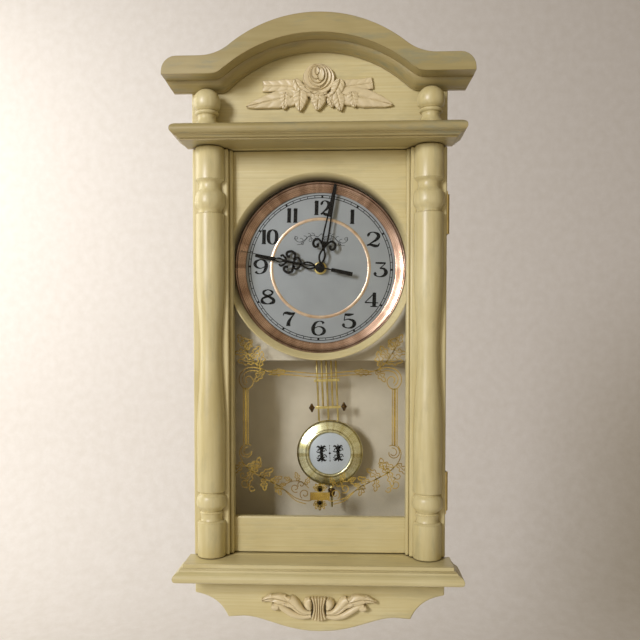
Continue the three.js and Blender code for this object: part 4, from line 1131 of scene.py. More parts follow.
# ---- dial ---------------------------------------------------------------------------------------
# One numeral fills a square of side 1. Each stroke is a smooth line of (x, z, half width).
LOOP = [(0.5, 1, 0.02), (0.17, 0.84, 0.07), (0.09, 0.5, 0.085), (0.17, 0.16, 0.07), (0.5, 0, 0.02),
        (0.83, 0.16, 0.07), (0.91, 0.5, 0.085), (0.83, 0.84, 0.07), (0.5, 1, 0.02)]
SIX = [[(0.84, 0.83, 0.065), (0.74, 0.95, 0.04), (0.52, 0.98, 0.022), (0.24, 0.82, 0.06), (0.1, 0.45, 0.085),
        (0.2, 0.12, 0.06), (0.5, 0.01, 0.022), (0.8, 0.13, 0.06), (0.9, 0.32, 0.08), (0.78, 0.53, 0.05),
        (0.5, 0.61, 0.022), (0.24, 0.5, 0.024), (0.13, 0.36, 0.03)]]
NUMERALS = {
    "0": [LOOP],
    "1": [[(0.62, 0.02, 0.085), (0.62, 0.5, 0.085), (0.62, 0.98, 0.085)],
          [(0.6, 0.96, 0.04), (0.36, 0.88, 0.028), (0.12, 0.85, 0.015)],
          [(0.12, 0.02, 0.02), (0.62, 0.022, 0.024), (1.1, 0.02, 0.02)]],
    "2": [[(0.2, 0.72, 0.07), (0.15, 0.8, 0.06), (0.27, 0.93, 0.035), (0.5, 0.98, 0.024), (0.8, 0.86, 0.07),
           (0.86, 0.68, 0.085), (0.7, 0.46, 0.06), (0.4, 0.26, 0.035), (0.1, 0.05, 0.03)],
          [(0.08, 0.07, 0.04), (0.3, 0.12, 0.05), (0.6, 0.05, 0.07), (0.84, 0.06, 0.05),
           (0.95, 0.25, 0.018)]],
    "3": [[(0.14, 0.95, 0.035), (0.5, 0.95, 0.045), (0.86, 0.96, 0.03)],
          [(0.86, 0.95, 0.02), (0.66, 0.76, 0.022), (0.46, 0.58, 0.024)],
          [(0.46, 0.58, 0.024), (0.74, 0.56, 0.05), (0.9, 0.33, 0.09), (0.76, 0.1, 0.06), (0.46, 0.01, 0.024),
           (0.2, 0.08, 0.035), (0.13, 0.2, 0.07), (0.22, 0.26, 0.055)]],
    "4": [[(0.72, 0.99, 0.02), (0.4, 0.64, 0.024), (0.06, 0.3, 0.02)],
          [(0.04, 0.29, 0.03), (0.5, 0.28, 0.026), (0.98, 0.28, 0.022)],
          [(0.7, 0.98, 0.08), (0.7, 0.5, 0.085), (0.7, 0.02, 0.085)],
          [(0.44, 0.02, 0.022), (0.7, 0.022, 0.024), (0.96, 0.02, 0.022)]],
    "5": [[(0.2, 0.94, 0.05), (0.5, 0.93, 0.065), (0.84, 0.98, 0.02)],
          [(0.22, 0.96, 0.022), (0.2, 0.74, 0.022), (0.17, 0.52, 0.022)],
          [(0.17, 0.53, 0.02), (0.44, 0.62, 0.03), (0.8, 0.52, 0.065), (0.9, 0.31, 0.09), (0.76, 0.08, 0.06),
           (0.46, 0.01, 0.024), (0.2, 0.08, 0.035), (0.13, 0.2, 0.07), (0.22, 0.26, 0.055)]],
    "6": SIX,
    "7": [[(0.08, 0.74, 0.015), (0.13, 0.9, 0.04), (0.34, 0.94, 0.07), (0.62, 0.89, 0.07),
           (0.92, 0.97, 0.02)],
          [(0.9, 0.95, 0.025), (0.64, 0.6, 0.045), (0.48, 0.3, 0.08), (0.46, 0.03, 0.1)]],
    "8": [[(0.5, 0.55, 0.05), (0.22, 0.68, 0.05), (0.2, 0.86, 0.055), (0.5, 0.99, 0.022), (0.8, 0.86, 0.05),
           (0.78, 0.7, 0.04), (0.5, 0.55, 0.06), (0.14, 0.38, 0.05), (0.12, 0.14, 0.08), (0.5, 0.01, 0.024),
           (0.88, 0.14, 0.08), (0.88, 0.34, 0.07), (0.5, 0.55, 0.05)]],
    "9": [[(1 - x, 1 - z, half) for x, z, half in stroke] for stroke in SIX],
}
ONE_WIDTH, PAIR_WIDTH, LONE_WIDTH, NUMERAL_GAP = 0.32, 0.7, 0.98, 0.12


def on_dial(x, z):
    """A place on the printed card, whose printing is turned a little."""
    c, s = math.cos(PRINT_ANGLE), math.sin(PRINT_ANGLE)
    return x * c + z * s, ARBOR.z - x * s + z * c


class CLOCK_OT_dial(bpy.types.Operator):
    """Models the card, its numerals, minute track, inlaid ring and ornament, and the bezel"""

    bl_idname = "clock.dial"
    bl_label = "Dial"

    def numeral(self, bm, text, x, z, height, front):
        boldness = 1.5
        widths = [ONE_WIDTH if c == "1" else PAIR_WIDTH if len(text) > 1 else LONE_WIDTH for c in text]
        left = x - height * (sum(widths) + NUMERAL_GAP * (len(text) - 1)) / 2
        for character, width in zip(text, widths):
            for stroke in NUMERALS[character]:
                placed = []
                for px, pz, half in through(stroke, 5):
                    at = on_dial(left + px * width * height, z + (pz - 0.5) * height)
                    placed.append((*at, half * height * boldness))
                ribbon(bm, placed, front, PRINT_BACK)
            left += height * (width + NUMERAL_GAP)

    def track(self, bm, radius, front):
        half_track = 1.25
        for offset in (-half_track, half_track):
            circle = [on_dial(*p) for p in arc(0, 0, radius + offset, 0, 360, 120)]
            ribbon(bm, circle, front, PRINT_BACK, 0.78)
        for minute in range(60):
            angle = math.radians(6 * minute)
            one, other = [on_dial(r * math.sin(angle), r * math.cos(angle))
                          for r in (radius - half_track, radius + half_track)]
            ribbon(bm, [one, other], front, PRINT_BACK, 2.2 if minute % 5 == 0 else 0.7)

    def hairline_scroll(self, bm, front):
        """Leafy scrolls under the twelve, a mirrored pair."""
        drop = 31
        for side in (-1, 1):
            run = [(0, 6.5), (4, 3), (9, 4.6), (14, 2.8), (19, -1.6), (24, -3.2), (28, -1), (28.6, 3.4)]
            lines = [through(run), through([(2, 1), (8, 0), (13, 3.5), (16, 0.6), (21, -5), (26, -6)])]
            lines += [arc(x, z, r, start, start + 420, 22, r * 0.3)
                      for x, z, r, start in ((5.5, 0.6, 3, 90), (12, -0.8, 2.4, 60), (27, 1, 2.4, -90),
                                             (20.5, -4.6, 2, 40))]
            lines += [through([(x, z), (x + 1, z + 2.6), (x + 3.6, z + 3.4)])
                      for x, z in ((7, 3.6), (11, 3.2), (15.5, 0.4), (19.4, -2.4))]
            for line in lines:
                placed = [on_dial(side * x, drop + z) for x, z in line]
                ribbon(bm, placed, front, PRINT_BACK, 0.56)

    def execute(self, context):
        sizes = context.scene.clock_sizes
        low, high = span("dial_plate")
        radius = (high.x - low.x) / 2
        hole = 4.5
        bm = bmesh.new()
        lathe(bm, [(hole, 0), (radius, 0), (radius, high.y - low.y), (hole, high.y - low.y), (hole, 0)],
              at=(0, low.y, ARBOR.z), along="Y", steps=128)
        made("dial_card", bm, "dial_card", "case", ["dial_plate"], crease=30)

        bm = bmesh.new()
        height = sizes.numeral_height / MM
        for hour in range(1, 13):
            angle = math.radians(30 * hour)
            reach = sizes.numeral_ring / MM
            self.numeral(bm, str(hour), reach * math.sin(angle), reach * math.cos(angle), height,
                         PRINT_FRONT)
        self.track(bm, sizes.track_radius / MM, PRINT_FRONT)
        made("dial_printing", bm, "dial_ink", "case", crease=30)
        bm = bmesh.new()
        self.hairline_scroll(bm, PRINT_FRONT)
        made("dial_hairline_scroll", bm, "fine_ink", "case", crease=30)

        bm = bmesh.new()
        ring = sizes.ring_radius / MM
        lathe(bm, [(ring - 1.7, 0), (ring - 1.5, -0.1), (ring, -0.14), (ring + 1.5, -0.1), (ring + 1.7, 0),
                   (ring - 1.7, 0)], at=(0, DIAL_FACE - 0.01, ARBOR.z), along="Y", steps=120)
        made("dial_inlaid_ring", bm, "inlaid_ring", "case", crease=60)

        low, high = span("bezel")
        outer = (high.x - low.x) / 2
        deep = high.y - low.y
        inner = outer - 11.8
        profile = [(inner, deep), (inner, deep - 1.2), (inner + 0.3, deep - 1.6)]
        profile += through([(inner + 0.8, deep - 1.8), (outer - 6, deep - 3), (outer - 3.2, deep - 4)], 4)
        profile += through([(outer - 2.9, deep - 4.6), (outer - 2.4, 0.5), (outer - 1.4, 0),
                            (outer - 0.4, 0.5), (outer, 1.6)], 3)
        profile += [(outer, deep), (inner, deep)]
        bm = bmesh.new()
        lathe(bm, profile, at=(0, low.y, ARBOR.z), along="Y", steps=144)
        made("bezel_spun", bm, "rose_bezel", "case", ["bezel"], crease=38)
        return {"FINISHED"}


# ---- hands ----------------------------------------------------------------------------------------
class CLOCK_OT_hands(bpy.types.Operator):
    """Models the two pierced serpentine hands, the second hand and the nut behind them"""

    bl_idname = "clock.hands"
    bl_label = "Hands"

    hub = 5.2

    def turned(self, bm, angle):
        place = Matrix.Translation(ARBOR) @ Matrix.Rotation(angle, 4, "Y")
        bmesh.ops.transform(bm, matrix=place, verts=bm.verts)

    def boss(self, bm, front, back, bore):
        r = self.hub
        lathe(bm, [(bore, 0), (r - 0.4, 0), (r, 0.25), (r, back - front), (bore, back - front), (bore, 0)],
              at=(0, front, 0), along="Y", steps=40)

    def almond(self, bm, low, high, half, front, back, line=1.7):
        middle_z = (low + high) / 2
        for side in (-1, 1):
            edge = [(0, low), (side * half * 0.8, low + (high - low) * 0.3), (side * half, middle_z),
                    (side * half * 0.8, high - (high - low) * 0.3), (0, high)]
            ribbon(bm, through(edge), front, back, line)

    def minute(self):
        low, high = span("minute_hand")
        front, back = low.y, high.y
        tip = 91
        bm = bmesh.new()
        self.boss(bm, front, back, 2.1)
        self.almond(bm, 3.5, 21, 3, front, back, 2)
        for side in (-1, 1):
            curl = [(0, 20, 1.2), (side * 2.6, 25.6, 1.1), (side * 7, 29.6, 1.2), (side * 11, 28.2, 1.3),
                    (side * 12, 24, 1.4), (side * 9.4, 21, 1.3), (side * 6.6, 22.6, 1.2),
                    (side * 7.4, 25, 1.5)]
            ribbon(bm, through(curl), front, back)
            ribbon(bm, through([(0, 20, 1), (side * 1.6, 27, 1), (side * 2.9, 31, 0.9),
                                (side * 1.9, 57, 0.85)]), front, back)
        ribbon(bm, [(0, 18.5, 1.6), (0, 24, 1.1), (0, 28.5, 1.2)], front, back)
        ribbon(bm, [(0, 55.4, 2.7), (0, 75, 2.3), (0, tip - 0.6, 1.6), (0, tip, 1.1)], front, back)
        self.turned(bm, MINUTE_ANGLE)
        made("minute_hand_pierced", bm, "hand_enamel", "minute_arbor", ["minute_hand"],
             edge=0.12 * MM)

    def hour(self):
        low, high = span("hour_hand")
        front, back = low.y, high.y
        bm = bmesh.new()
        self.boss(bm, front, back, 3)
        self.almond(bm, 4, 21.5, 3.4, front, back, 1.9)
        for side in (-1, 1):
            lower = [(0, 21, 1.2), (side * 3, 22.2, 1.2), (side * 6, 25, 1.2), (side * 5.4, 28.2, 1.2),
                     (side * 2.8, 27.6, 1.3)]
            upper = [(0, 29, 1.2), (side * 4.6, 29, 1.3), (side * 9.6, 29.6, 1.4), (side * 11.6, 34, 1.4),
                     (side * 9.4, 38.2, 1.4), (side * 6, 37.6, 1.3), (side * 5.6, 34.4, 1.5)]
            spur = [(0, 37, 1.1), (side * 3.2, 39, 1.1), (side * 5.8, 42.4, 1.2), (side * 4.2, 44.6, 1.1)]
            for line in (lower, upper, spur):
                ribbon(bm, through(line), front, back)
        ribbon(bm, [(0, 20, 1.5), (0, 30, 1.3), (0, 42, 1.3)], front, back)
        self.almond(bm, 40, 51, 2.2, front, back, 1.2)
        ribbon(bm, [(0, 50, 2.3), (0, 60, 2.1), (0, 71.4, 1.6), (0, 72, 1.1)], front, back)
        self.turned(bm, HOUR_ANGLE)
        made("hour_hand_pierced", bm, "hand_enamel", "hour_arbor", ["hour_hand"],
             edge=0.12 * MM)

    def second(self):
        low, high = span("second_hand")
        front = low.y
        back = front + 0.6
        bm = bmesh.new()
        lathe(bm, [(0, 0), (2.6, 0), (3.5, 0.25), (3.6, 0.6), (0.9, 0.6), (0.9, high.y - front),
                   (0, high.y - front)], at=(0, front, 0), along="Y", steps=32)
        ribbon(bm, [(0, -13, 0.6), (0, 0, 0.75), (0, 88, 0.28)], front + 0.1, back)
        ribbon(bm, [(0, -36, 1.9), (0, -35.6, 2.05), (0, -13, 2.05), (0, -12.4, 1.4)], front + 0.05, back)
        self.turned(bm, SECOND_ANGLE)
        made("second_hand_needle", bm, "hand_enamel", "second_arbor", ["second_hand"],
             edge=0.08 * MM)

    def execute(self, context):
        self.minute()
        self.hour()
        self.second()
        low, high = span("mounting_nut")
        deep = high.y - low.y
        bm = bmesh.new()
        lathe(bm, [(4.05, 0.2), (4.5, 0), (6.4, 0), (7, 0.5), (7, deep), (4.05, deep), (4.05, 0.2)],
              at=(0, low.y, ARBOR.z), along="Y", steps=40)
        made("mounting_nut_turned", bm, "brass", "case", ["mounting_nut"], crease=40)
        return {"FINISHED"}


# ---- pendulum --------------------------------------------------------------------------------------
class CLOCK_OT_pendulum(bpy.types.Operator):
    """Models the gridiron rods, crossbars, knobs, bob and rating nut"""

    bl_idname = "clock.pendulum"
    bl_label = "Pendulum"

    drop = 234.5
    bob_radius = 37.6
    pitch = 5.4

    def hung(self, bm):
        """Leans a mesh made below the pivot and hangs it there."""
        place = Matrix.Translation((0, PENDULUM.y, PENDULUM.z)) @ Matrix.Rotation(-LEAN, 4, "Y")
        bmesh.ops.transform(bm, matrix=place, verts=bm.verts)

    def bar(self, bm, drop):
        """A crossbar with a bead where each rod passes it."""
        half, high = 14.4, 1.5
        slab(bm, [(-half, -drop - high), (half, -drop - high), (half, -drop + high), (-half, -drop + high)],
             -3, -1.4)
        for i in range(-2, 3):
            lathe(bm, [(0, 0), (0.9, 0.1), (1.1, 0.5), (0, 0.5)], at=(self.pitch * i, -3.45, -drop),
                  along="Y", steps=16)

    def rods(self):
        top = -92.3
        for i in range(5):
            x = (i - 2) * self.pitch
            reaches_bob = i % 2 == 0
            low = -self.drop + math.sqrt(self.bob_radius**2 - x * x) + 0.5 if reaches_bob else -184
            bm = bmesh.new()
            lathe(bm, [(0, low), (0.8, low), (1.1, low + 0.3), (1.1, top - 0.3), (0.8, top), (0, top)],
                  at=(x, 0, 0), steps=20)
            self.hung(bm)
            node = f"pendulum_rod_{i + 1}"
            made(f"{node}_drawn", bm, "brass", "pendulum", [node], crease=50)

    def bob(self):
        r, half = self.bob_radius, 6
        seat = -2.4
        rim = [(23.6, -3.95), (23.4, -4.6)] + through([(23.6, -5.2), (24.6, -6), (26, -6), (26.8, -5.5)], 4)
        dish = through([(27.2, -5.2), (29.6, -4.6), (32.6, -3.7), (35, -2.9)], 5)
        roll = through([(36, -2.4), (37.2, -1.2), (r, 0.3), (r - 0.4, 1.7), (r - 1.6, 2.6)], 5)
        back = through([(r - 2.4, 3), (31, 4.6), (22, 5.8), (10, half)], 4)
        profile = [(0, seat), (24.9, seat), (24.9, -3.95)] + rim + dish + roll + back + [(0, half)]
        bm = bmesh.new()
        lathe(bm, profile, at=(0, 0, -self.drop), along="Y", steps=96)
        stem_top, stem_low = -self.drop - r + 1.2, -self.drop - r - 24
        thread = [(0, stem_low), (1.1, stem_low)]
        turns = 26
        for i in range(turns):
            z = stem_low + 0.4 + i * (stem_top - 2 - stem_low) / turns
            thread += [(1.5, z), (1.18, z + 0.42)]
        lathe(bm, thread + [(1.5, stem_top), (0, stem_top)], steps=20)
        self.hung(bm)
        made("bob_spun", bm, "bob_brass", "pendulum", ["bob_shell"], crease=48)

        bm = bmesh.new()
        lathe(bm, [(0, 0), (24.2, 0), (24.7, 0.3), (24.7, 1.2), (0, 1.2)], at=(0, -3.9, -self.drop),
              along="Y", steps=96)
        self.hung(bm)
        made("bob_insert", bm, "bob_card", "pendulum", ["bob_disc"], crease=40)
        self.emblem()

    def emblem(self):
        """A plain printed ornament: two leafy knots beside a beaded line."""
        front, back = -3.96, -3.9
        bm = bmesh.new()
        for side in (-1, 1):
            centre = side * 9.4
            for up in (-1, 1):
                for x, r, start in ((-2.9, 2.7, 200), (2.9, 2.7, -20)):
                    spiral = arc(centre + x, up * 3.6, r, start, start + 400, 20, 0.6)
                    ribbon(bm, [(px, pz - self.drop) for px, pz in spiral], front, back, 1.15)
                tuft = [(centre, up, 1.4), (centre + 0.6, up * 5, 1.9), (centre, up * 10, 0.2)]
                ribbon(bm, [(x, z - self.drop, w) for x, z, w in through(tuft)], front, back)
                for lean in (-1, 1):
                    blade = [(centre, up * 5, 1), (centre + lean * 3.4, up * 8, 1.1),
                             (centre + lean * 5.6, up * 7, 0.1)]
                    ribbon(bm, [(x, z - self.drop, w) for x, z, w in through(blade)], front, back)
            core = [(centre, 3.4, 0.3), (centre, 0, 2.3), (centre, -3.4, 0.3)]
            ribbon(bm, [(x, z - self.drop, w) for x, z, w in core], front, back)
        for z, size in ((8.6, 0.7), (5.2, 0.5), (0, 1.5), (-5.2, 0.5), (-8.6, 0.9)):
            ribbon(bm, [(-size, z - self.drop, 0.1), (0, z - self.drop, size), (size, z - self.drop, 0.1)],
                   front, back)
        ribbon(bm, [(0, -self.drop - 8), (0, -self.drop + 9)], front, back, 0.3)
        self.hung(bm)
        made("bob_ornament", bm, "dial_ink", "pendulum", crease=30)

    def execute(self, context):
        self.rods()
        for name, drop in (("upper", 152), ("lower", 182.5)):
            bm = bmesh.new()
            self.bar(bm, drop)
            self.hung(bm)
            node = f"{name}_crossbar"
            made(f"{node}_pressed", bm, "brass", "pendulum", [node], 0.3 * MM)
        for name, side in SIDES.items():
            bm = bmesh.new()
            profile = [(0, -4.9), (0.8, -4.8), (1.2, -4.3)] + through([(1.3, -3.6), (2.4, -1.6), (3.4, 0),
                                                                      (2.4, 1.6), (1.3, 3.6)], 3)
            profile += [(1.2, 4.3), (0.8, 4.8), (0, 4.9)]
            lathe(bm, profile, at=(side * 18.2, -2.2, -182.5), steps=24)
            self.hung(bm)
            node = f"bar_knob_{name}"
            made(f"{node}_turned", bm, "bronze", "pendulum", [node], crease=45)
        softened("pendulum_strap", "brass", "pendulum", 0.2 * MM)
        self.bob()
        bm = bmesh.new()
        top = -self.drop - self.bob_radius - 3
        profile = [(1.65, top - 9), (2.6, top - 9), (3.9, top - 5.6), (4, top - 5.2)]
        for i in range(4):  # knurled grip, drawn as grooves
            z = top - 5 + i * 0.9
            profile += [(4, z), (3.7, z + 0.3), (4, z + 0.6)]
        profile += [(4, top - 1.2), (3.2, top - 0.2), (1.65, top), (1.65, top - 9)]
        lathe(bm, profile, steps=32)
        self.hung(bm)
        made("rating_nut_turned", bm, "bronze", "rating_nut", ["rating_nut"], crease=40)
        return {"FINISHED"}


# ---- glass -----------------------------------------------------------------------------------------
class CLOCK_OT_glass(bpy.types.Operator):
    """Gives the door glass its finish and prints the gilt scrollwork on its back"""

    bl_idname = "clock.glass"
    bl_label = "Door Glass"

    # how much longer and fuller a leaf is drawn than its spray lists it
    leaf_length, leaf_bulge = 1.15, 1.25

    def line(self, bm, points, side, width):
        front, back = GLASS_HIGH.y + 0.02, GLASS_HIGH.y + 0.08
        ribbon(bm, [(side * x, z) for x, z in points], front, back, width)

    def outlined_leaf(self, bm, base, tip, bulge, side, width):
        """A lobed leaf drawn by its two edges, fuller on one side."""
        run = Vector(tip) - Vector(base)
        across = Vector((-run.y, run.x)).normalized()
        lobes = ((0, 0), (0.18, 0.75), (0.34, 0.4), (0.52, 1.05), (0.68, 0.4), (0.82, 0.5), (1, 0))
        for lean in (1, -0.7):
            edge = [Vector(base) + run * share + across * bulge * lean * out for share, out in lobes]
            self.line(bm, through([point[:] for point in edge], 4), side, width)
        vein = Vector(base) + run * 0.68 + across * bulge * 0.2
        self.line(bm, [base, vein[:]], side, width * 0.8)

    def spray(self, bm, spine, leaves, side, width):
        """A stem with leaves: each is its share along the stem, its length, its turn and its bulge."""
        line = through(spine)
        self.line(bm, line, side, width)
        for share, reach, turn, bulge in leaves:
            at, across = walk(line, share)
            run = Vector((across.y, -across.x))
            angle = math.radians(turn)
            heading = run * math.cos(angle) + across * math.sin(angle)
            tip = at + heading * reach * self.leaf_length
            self.outlined_leaf(bm, at[:], tip[:], bulge * self.leaf_bulge, side, width)

    def execute(self, context):
        frame["nodes"]["door_glass"].material_slots[0].material = material_of("float_glass")
        width = context.scene.clock_sizes.gilt_line / MM
        bm = bmesh.new()
        for side in (-1, 1):
            # upper corner: leafy spray, its top curl and the hook below it
            self.spray(bm, [(52, -20), (63, -16), (72, -8), (78, 1), (83, 9)],
                       [(0.04, 14, 158, 3.6), (0.2, 14, -76, 3.8), (0.34, 15, 62, 4.2), (0.48, 16, -44, 4.2),
                        (0.62, 14, 70, 3.8), (0.76, 13, -58, 3.8), (0.86, 11, 62, 3.2), (1, 12, 6, 3.6)],
                       side, width)
            self.line(bm, arc(79.6, 11.5, 6.4, 10, 330, 22, 2), side, width)
            hook = [(60, -18), (70, -14.4), (80, -15.4), (87, -22), (87.6, -31), (82, -37.6), (75, -35.4),
                    (72.6, -28.6), (76.6, -23.8), (81, -26.4), (79.4, -31.4)]
            self.line(bm, through(hook), side, width)
            self.line(bm, through([(62, -20), (72, -17.6), (80, -19.4), (84.2, -25), (83.6, -31),
                                   (80.6, -33.8)]), side, width)
            # double line across the top and the bar down the side
            for z in (-18.6, -22.4):
                self.line(bm, through([(56, z + 0.6), (34, z + 0.2), (14, z - 1.6), (-0.4, z - 2.4)]), side,
                          width)
            for x in (78.4, 83.6):
                self.line(bm, [(x, -37), (x, -99)], side, width)
            self.line(bm, [(81, -36.6), (81, -99.4)], side, width * 2.2)
            # lower corner: hook, outer sweep, and leaves hanging from the sweep
            self.line(bm, arc(79.4, -106.6, 8.4, 120, -190, 22, 4.4), side, width)
            self.line(bm, arc(79, -106.4, 5.2, 100, -150, 18, 2.6), side, width * 0.9)
            self.spray(bm, [(84.6, -99), (88, -107), (85, -117), (77, -126), (68, -132), (56, -138),
                            (45, -143.5)],
                       [(0.36, 13, 74, 3.8), (0.44, 15, -62, 4.2), (0.54, 14, 66, 4), (0.58, 16, -100, 4),
                        (0.7, 15, -58, 4), (0.76, 12, 58, 3.4), (0.86, 12, -50, 3.4), (0.95, 11, 40, 3)],
                       side, width)
            for x, z, r in ((82, -141, 5.4), (74.6, -146.6, 3.6), (84.4, -132, 4)):
                self.line(bm, arc(x, z, r, 200, 530, 20, r * 0.35), side, width * 0.9)
            self.line(bm, through([(45, -143.5), (36, -150), (26, -157), (14, -160), (9, -159)]), side, width)
            self.line(bm, through([(50, -146), (40, -147.6), (34, -153), (26, -160), (15, -163.4)]), side,
                      width)
            # centre: curls beside the plaque and the palmette below it
            for x, z, r, start in ((16.6, -152.4, 5.6, -60), (27, -146, 5, -120), (20.4, -142, 4, -40)):
                self.line(bm, arc(x, z, r, start, start + 400, 24, r * 0.3), side, width)
            self.spray(bm, [(12, -146), (20, -139.4), (30, -138.4), (38, -142)],
                       [(0.2, 8, 80, 2.4), (0.45, 9, 62, 2.6), (0.7, 8, 42, 2.2), (0.95, 7, 10, 2)],
                       side, width * 0.9)
            for turn, reach in ((0, 10.4), (28, 10), (55, 8.6)):
                angle = math.radians(turn)
                tip = (reach * math.sin(angle), -160 - reach * math.cos(angle))
                self.outlined_leaf(bm, (0.4, -160), tip, 2.4, side, width)
            for turn, reach in ((4, 9), (30, 9.6), (56, 9)):
                angle = math.radians(turn)
                tip = (reach * math.sin(angle), -149.5 + reach * math.cos(angle))
                self.outlined_leaf(bm, (0.4, -149.5), tip, 2.2, side, width)
        self.line(bm, [(-10.8, -154.8), (10.8, -154.8)], 1, 8.6)
        made("glass_gilding", bm, "gilt_print", "door", crease=30)
        return {"FINISHED"}


# ---- furniture, movement ------------------------------------------------------------------------
class CLOCK_OT_hardware(bpy.types.Operator):
    """Models the hinges, pins, catch, hanger and their screws"""

    bl_idname = "clock.hardware"
    bl_label = "Hinges, Catch and Hanger"

    def screw_head(self, bm, x, y, z, facing, radius=1.9):
        """A low round screw head with a dimple in it, facing along X or Y."""
        part = bmesh.new()
        lathe(part, [(0, 0.35), (0.5, 0.35), (0.8, 0.05), (radius - 0.4, 0), (radius, 0.25), (radius, 0.8),
                     (0, 0.8)], along="Y", steps=24)
        turn = Matrix.Rotation(math.pi / 2, 4, "Z") if facing == "X" else Matrix.Rotation(math.pi, 4, "Z")
        bmesh.ops.transform(part, matrix=Matrix.Translation((x, y, z)) @ turn, verts=part.verts)
        mesh = bpy.data.meshes.new("screw_head")
        part.to_mesh(mesh)
        part.free()
        bm.from_mesh(mesh)
        bpy.data.meshes.remove(mesh)

    def execute(self, context):
        edge = context.scene.clock_sizes.metal_edge
        for height in ("upper", "lower"):
            for body in ("case", "door"):
                node = f"hinge_leaf_{body}_{height}"
                softened(node, "brass", body, edge)
                low, high = span(node)
                bm = bmesh.new()
                y = (low.y + 7) if body == "door" else (high.y - 7)
                for z in (low.z + 7, (low.z + high.z) / 2, high.z - 7):
                    self.screw_head(bm, span("case_side_right")[1].x + 1.5, y, z, "X")
                made(f"hinge_screws_{body}_{height}", bm, "brass", body, crease=40)
            low, high = span(f"hinge_pin_{height}")
            centre = (low + high) / 2
            bm = bmesh.new()
            profile = [(0, low.z), (0.7, low.z), (1, low.z + 0.3), (1, high.z - 0.3), (0.7, high.z),
                       (0, high.z)]
            lathe(bm, profile, at=(centre.x, centre.y, 0), steps=24)
            made(f"hinge_pin_{height}_drawn", bm, "zinc_steel", "case", [f"hinge_pin_{height}"],
                 crease=50)
        softened("catch_plate", "zinc_steel", "door", 0.15 * MM)
        softened("catch_magnet", "magnet_case", "case", 0.6 * MM)
        softened("hanger_plate", "zinc_steel", "case", 0.2 * MM)
        low, high = span("hanger_plate")
        bm = bmesh.new()
        for side in (-1, 1):
            self.screw_head(bm, side * 14, high.y, (low.z + high.z) / 2, "Y", 2.4)
        bmesh.ops.translate(bm, vec=(0, -0.3, 0), verts=bm.verts)
        made("hanger_screws", bm, "zinc_steel", "case", crease=40)
        return {"FINISHED"}


class CLOCK_OT_movement(bpy.types.Operator):
    """Models the quartz movement: housing, wheels, coil, contacts, battery and setting knob"""

    bl_idname = "clock.movement"
    bl_label = "Movement"

    def execute(self, context):
        edge = context.scene.clock_sizes.metal_edge
        softened("movement_front_shell", "housing", "case", edge)
        softened("movement_rear_shell", "housing", "case", 0.6 * MM)
        for node, body in (("hour_wheel", "hour_arbor"), ("minute_wheel", "intermediate_arbor")):
            softened(node, "gear_nylon", body, 0.05 * MM)
        softened("cannon_pinion", "brass", "minute_arbor", 0.05 * MM)
        for node in ("contact_negative", "contact_positive"):
            softened(node, "zinc_steel", "case", 0.2 * MM)

        low, high = span("motor_coil")
        centre, radius = (low + high) / 2, (high.z - low.z) / 2
        half = (high.x - low.x) / 2
        wire = radius - 1.1
        profile = [(0, -half), (radius - 0.3, -half), (radius, -half + 0.3), (radius, 1 - half),
                   (wire, 1 - half)]
        profile += [(wire, half - 1), (radius, half - 1), (radius, half - 0.3), (radius - 0.3, half),
                    (0, half)]
        bm = bmesh.new()
        lathe(bm, profile, steps=40)
        place = Matrix.Translation(centre) @ Matrix.Rotation(math.pi / 2, 4, "Y")
        bmesh.ops.transform(bm, matrix=place, verts=bm.verts)
        made("motor_coil_wound", bm, "winding", "case", ["motor_coil"], crease=40)

        low, high = span("battery")
        centre, radius = (low + high) / 2, (high.x - low.x) / 2
        h = high.z - low.z
        profile = [(0, 0.2), (4.6, 0.2), (4.8, 0), (radius - 0.7, 0), (radius, 0.7), (radius, h - 2.6)]
        profile += through([(radius, h - 2.5), (radius - 0.3, h - 1.9), (radius - 1, h - 1.6)], 3)
        profile += [(3.2, h - 1.6), (2.7, h - 1.3), (2.6, h - 0.3), (2.3, h), (0, h)]
        bm = bmesh.new()
        lathe(bm, profile, at=(centre.x, centre.y, low.z), steps=40)
        made("battery_cell", bm, "battery_sleeve", "battery", ["battery"], crease=40)
        softened("setting_knob", "housing", "setting_arbor", 0.3 * MM)
        return {"FINISHED"}


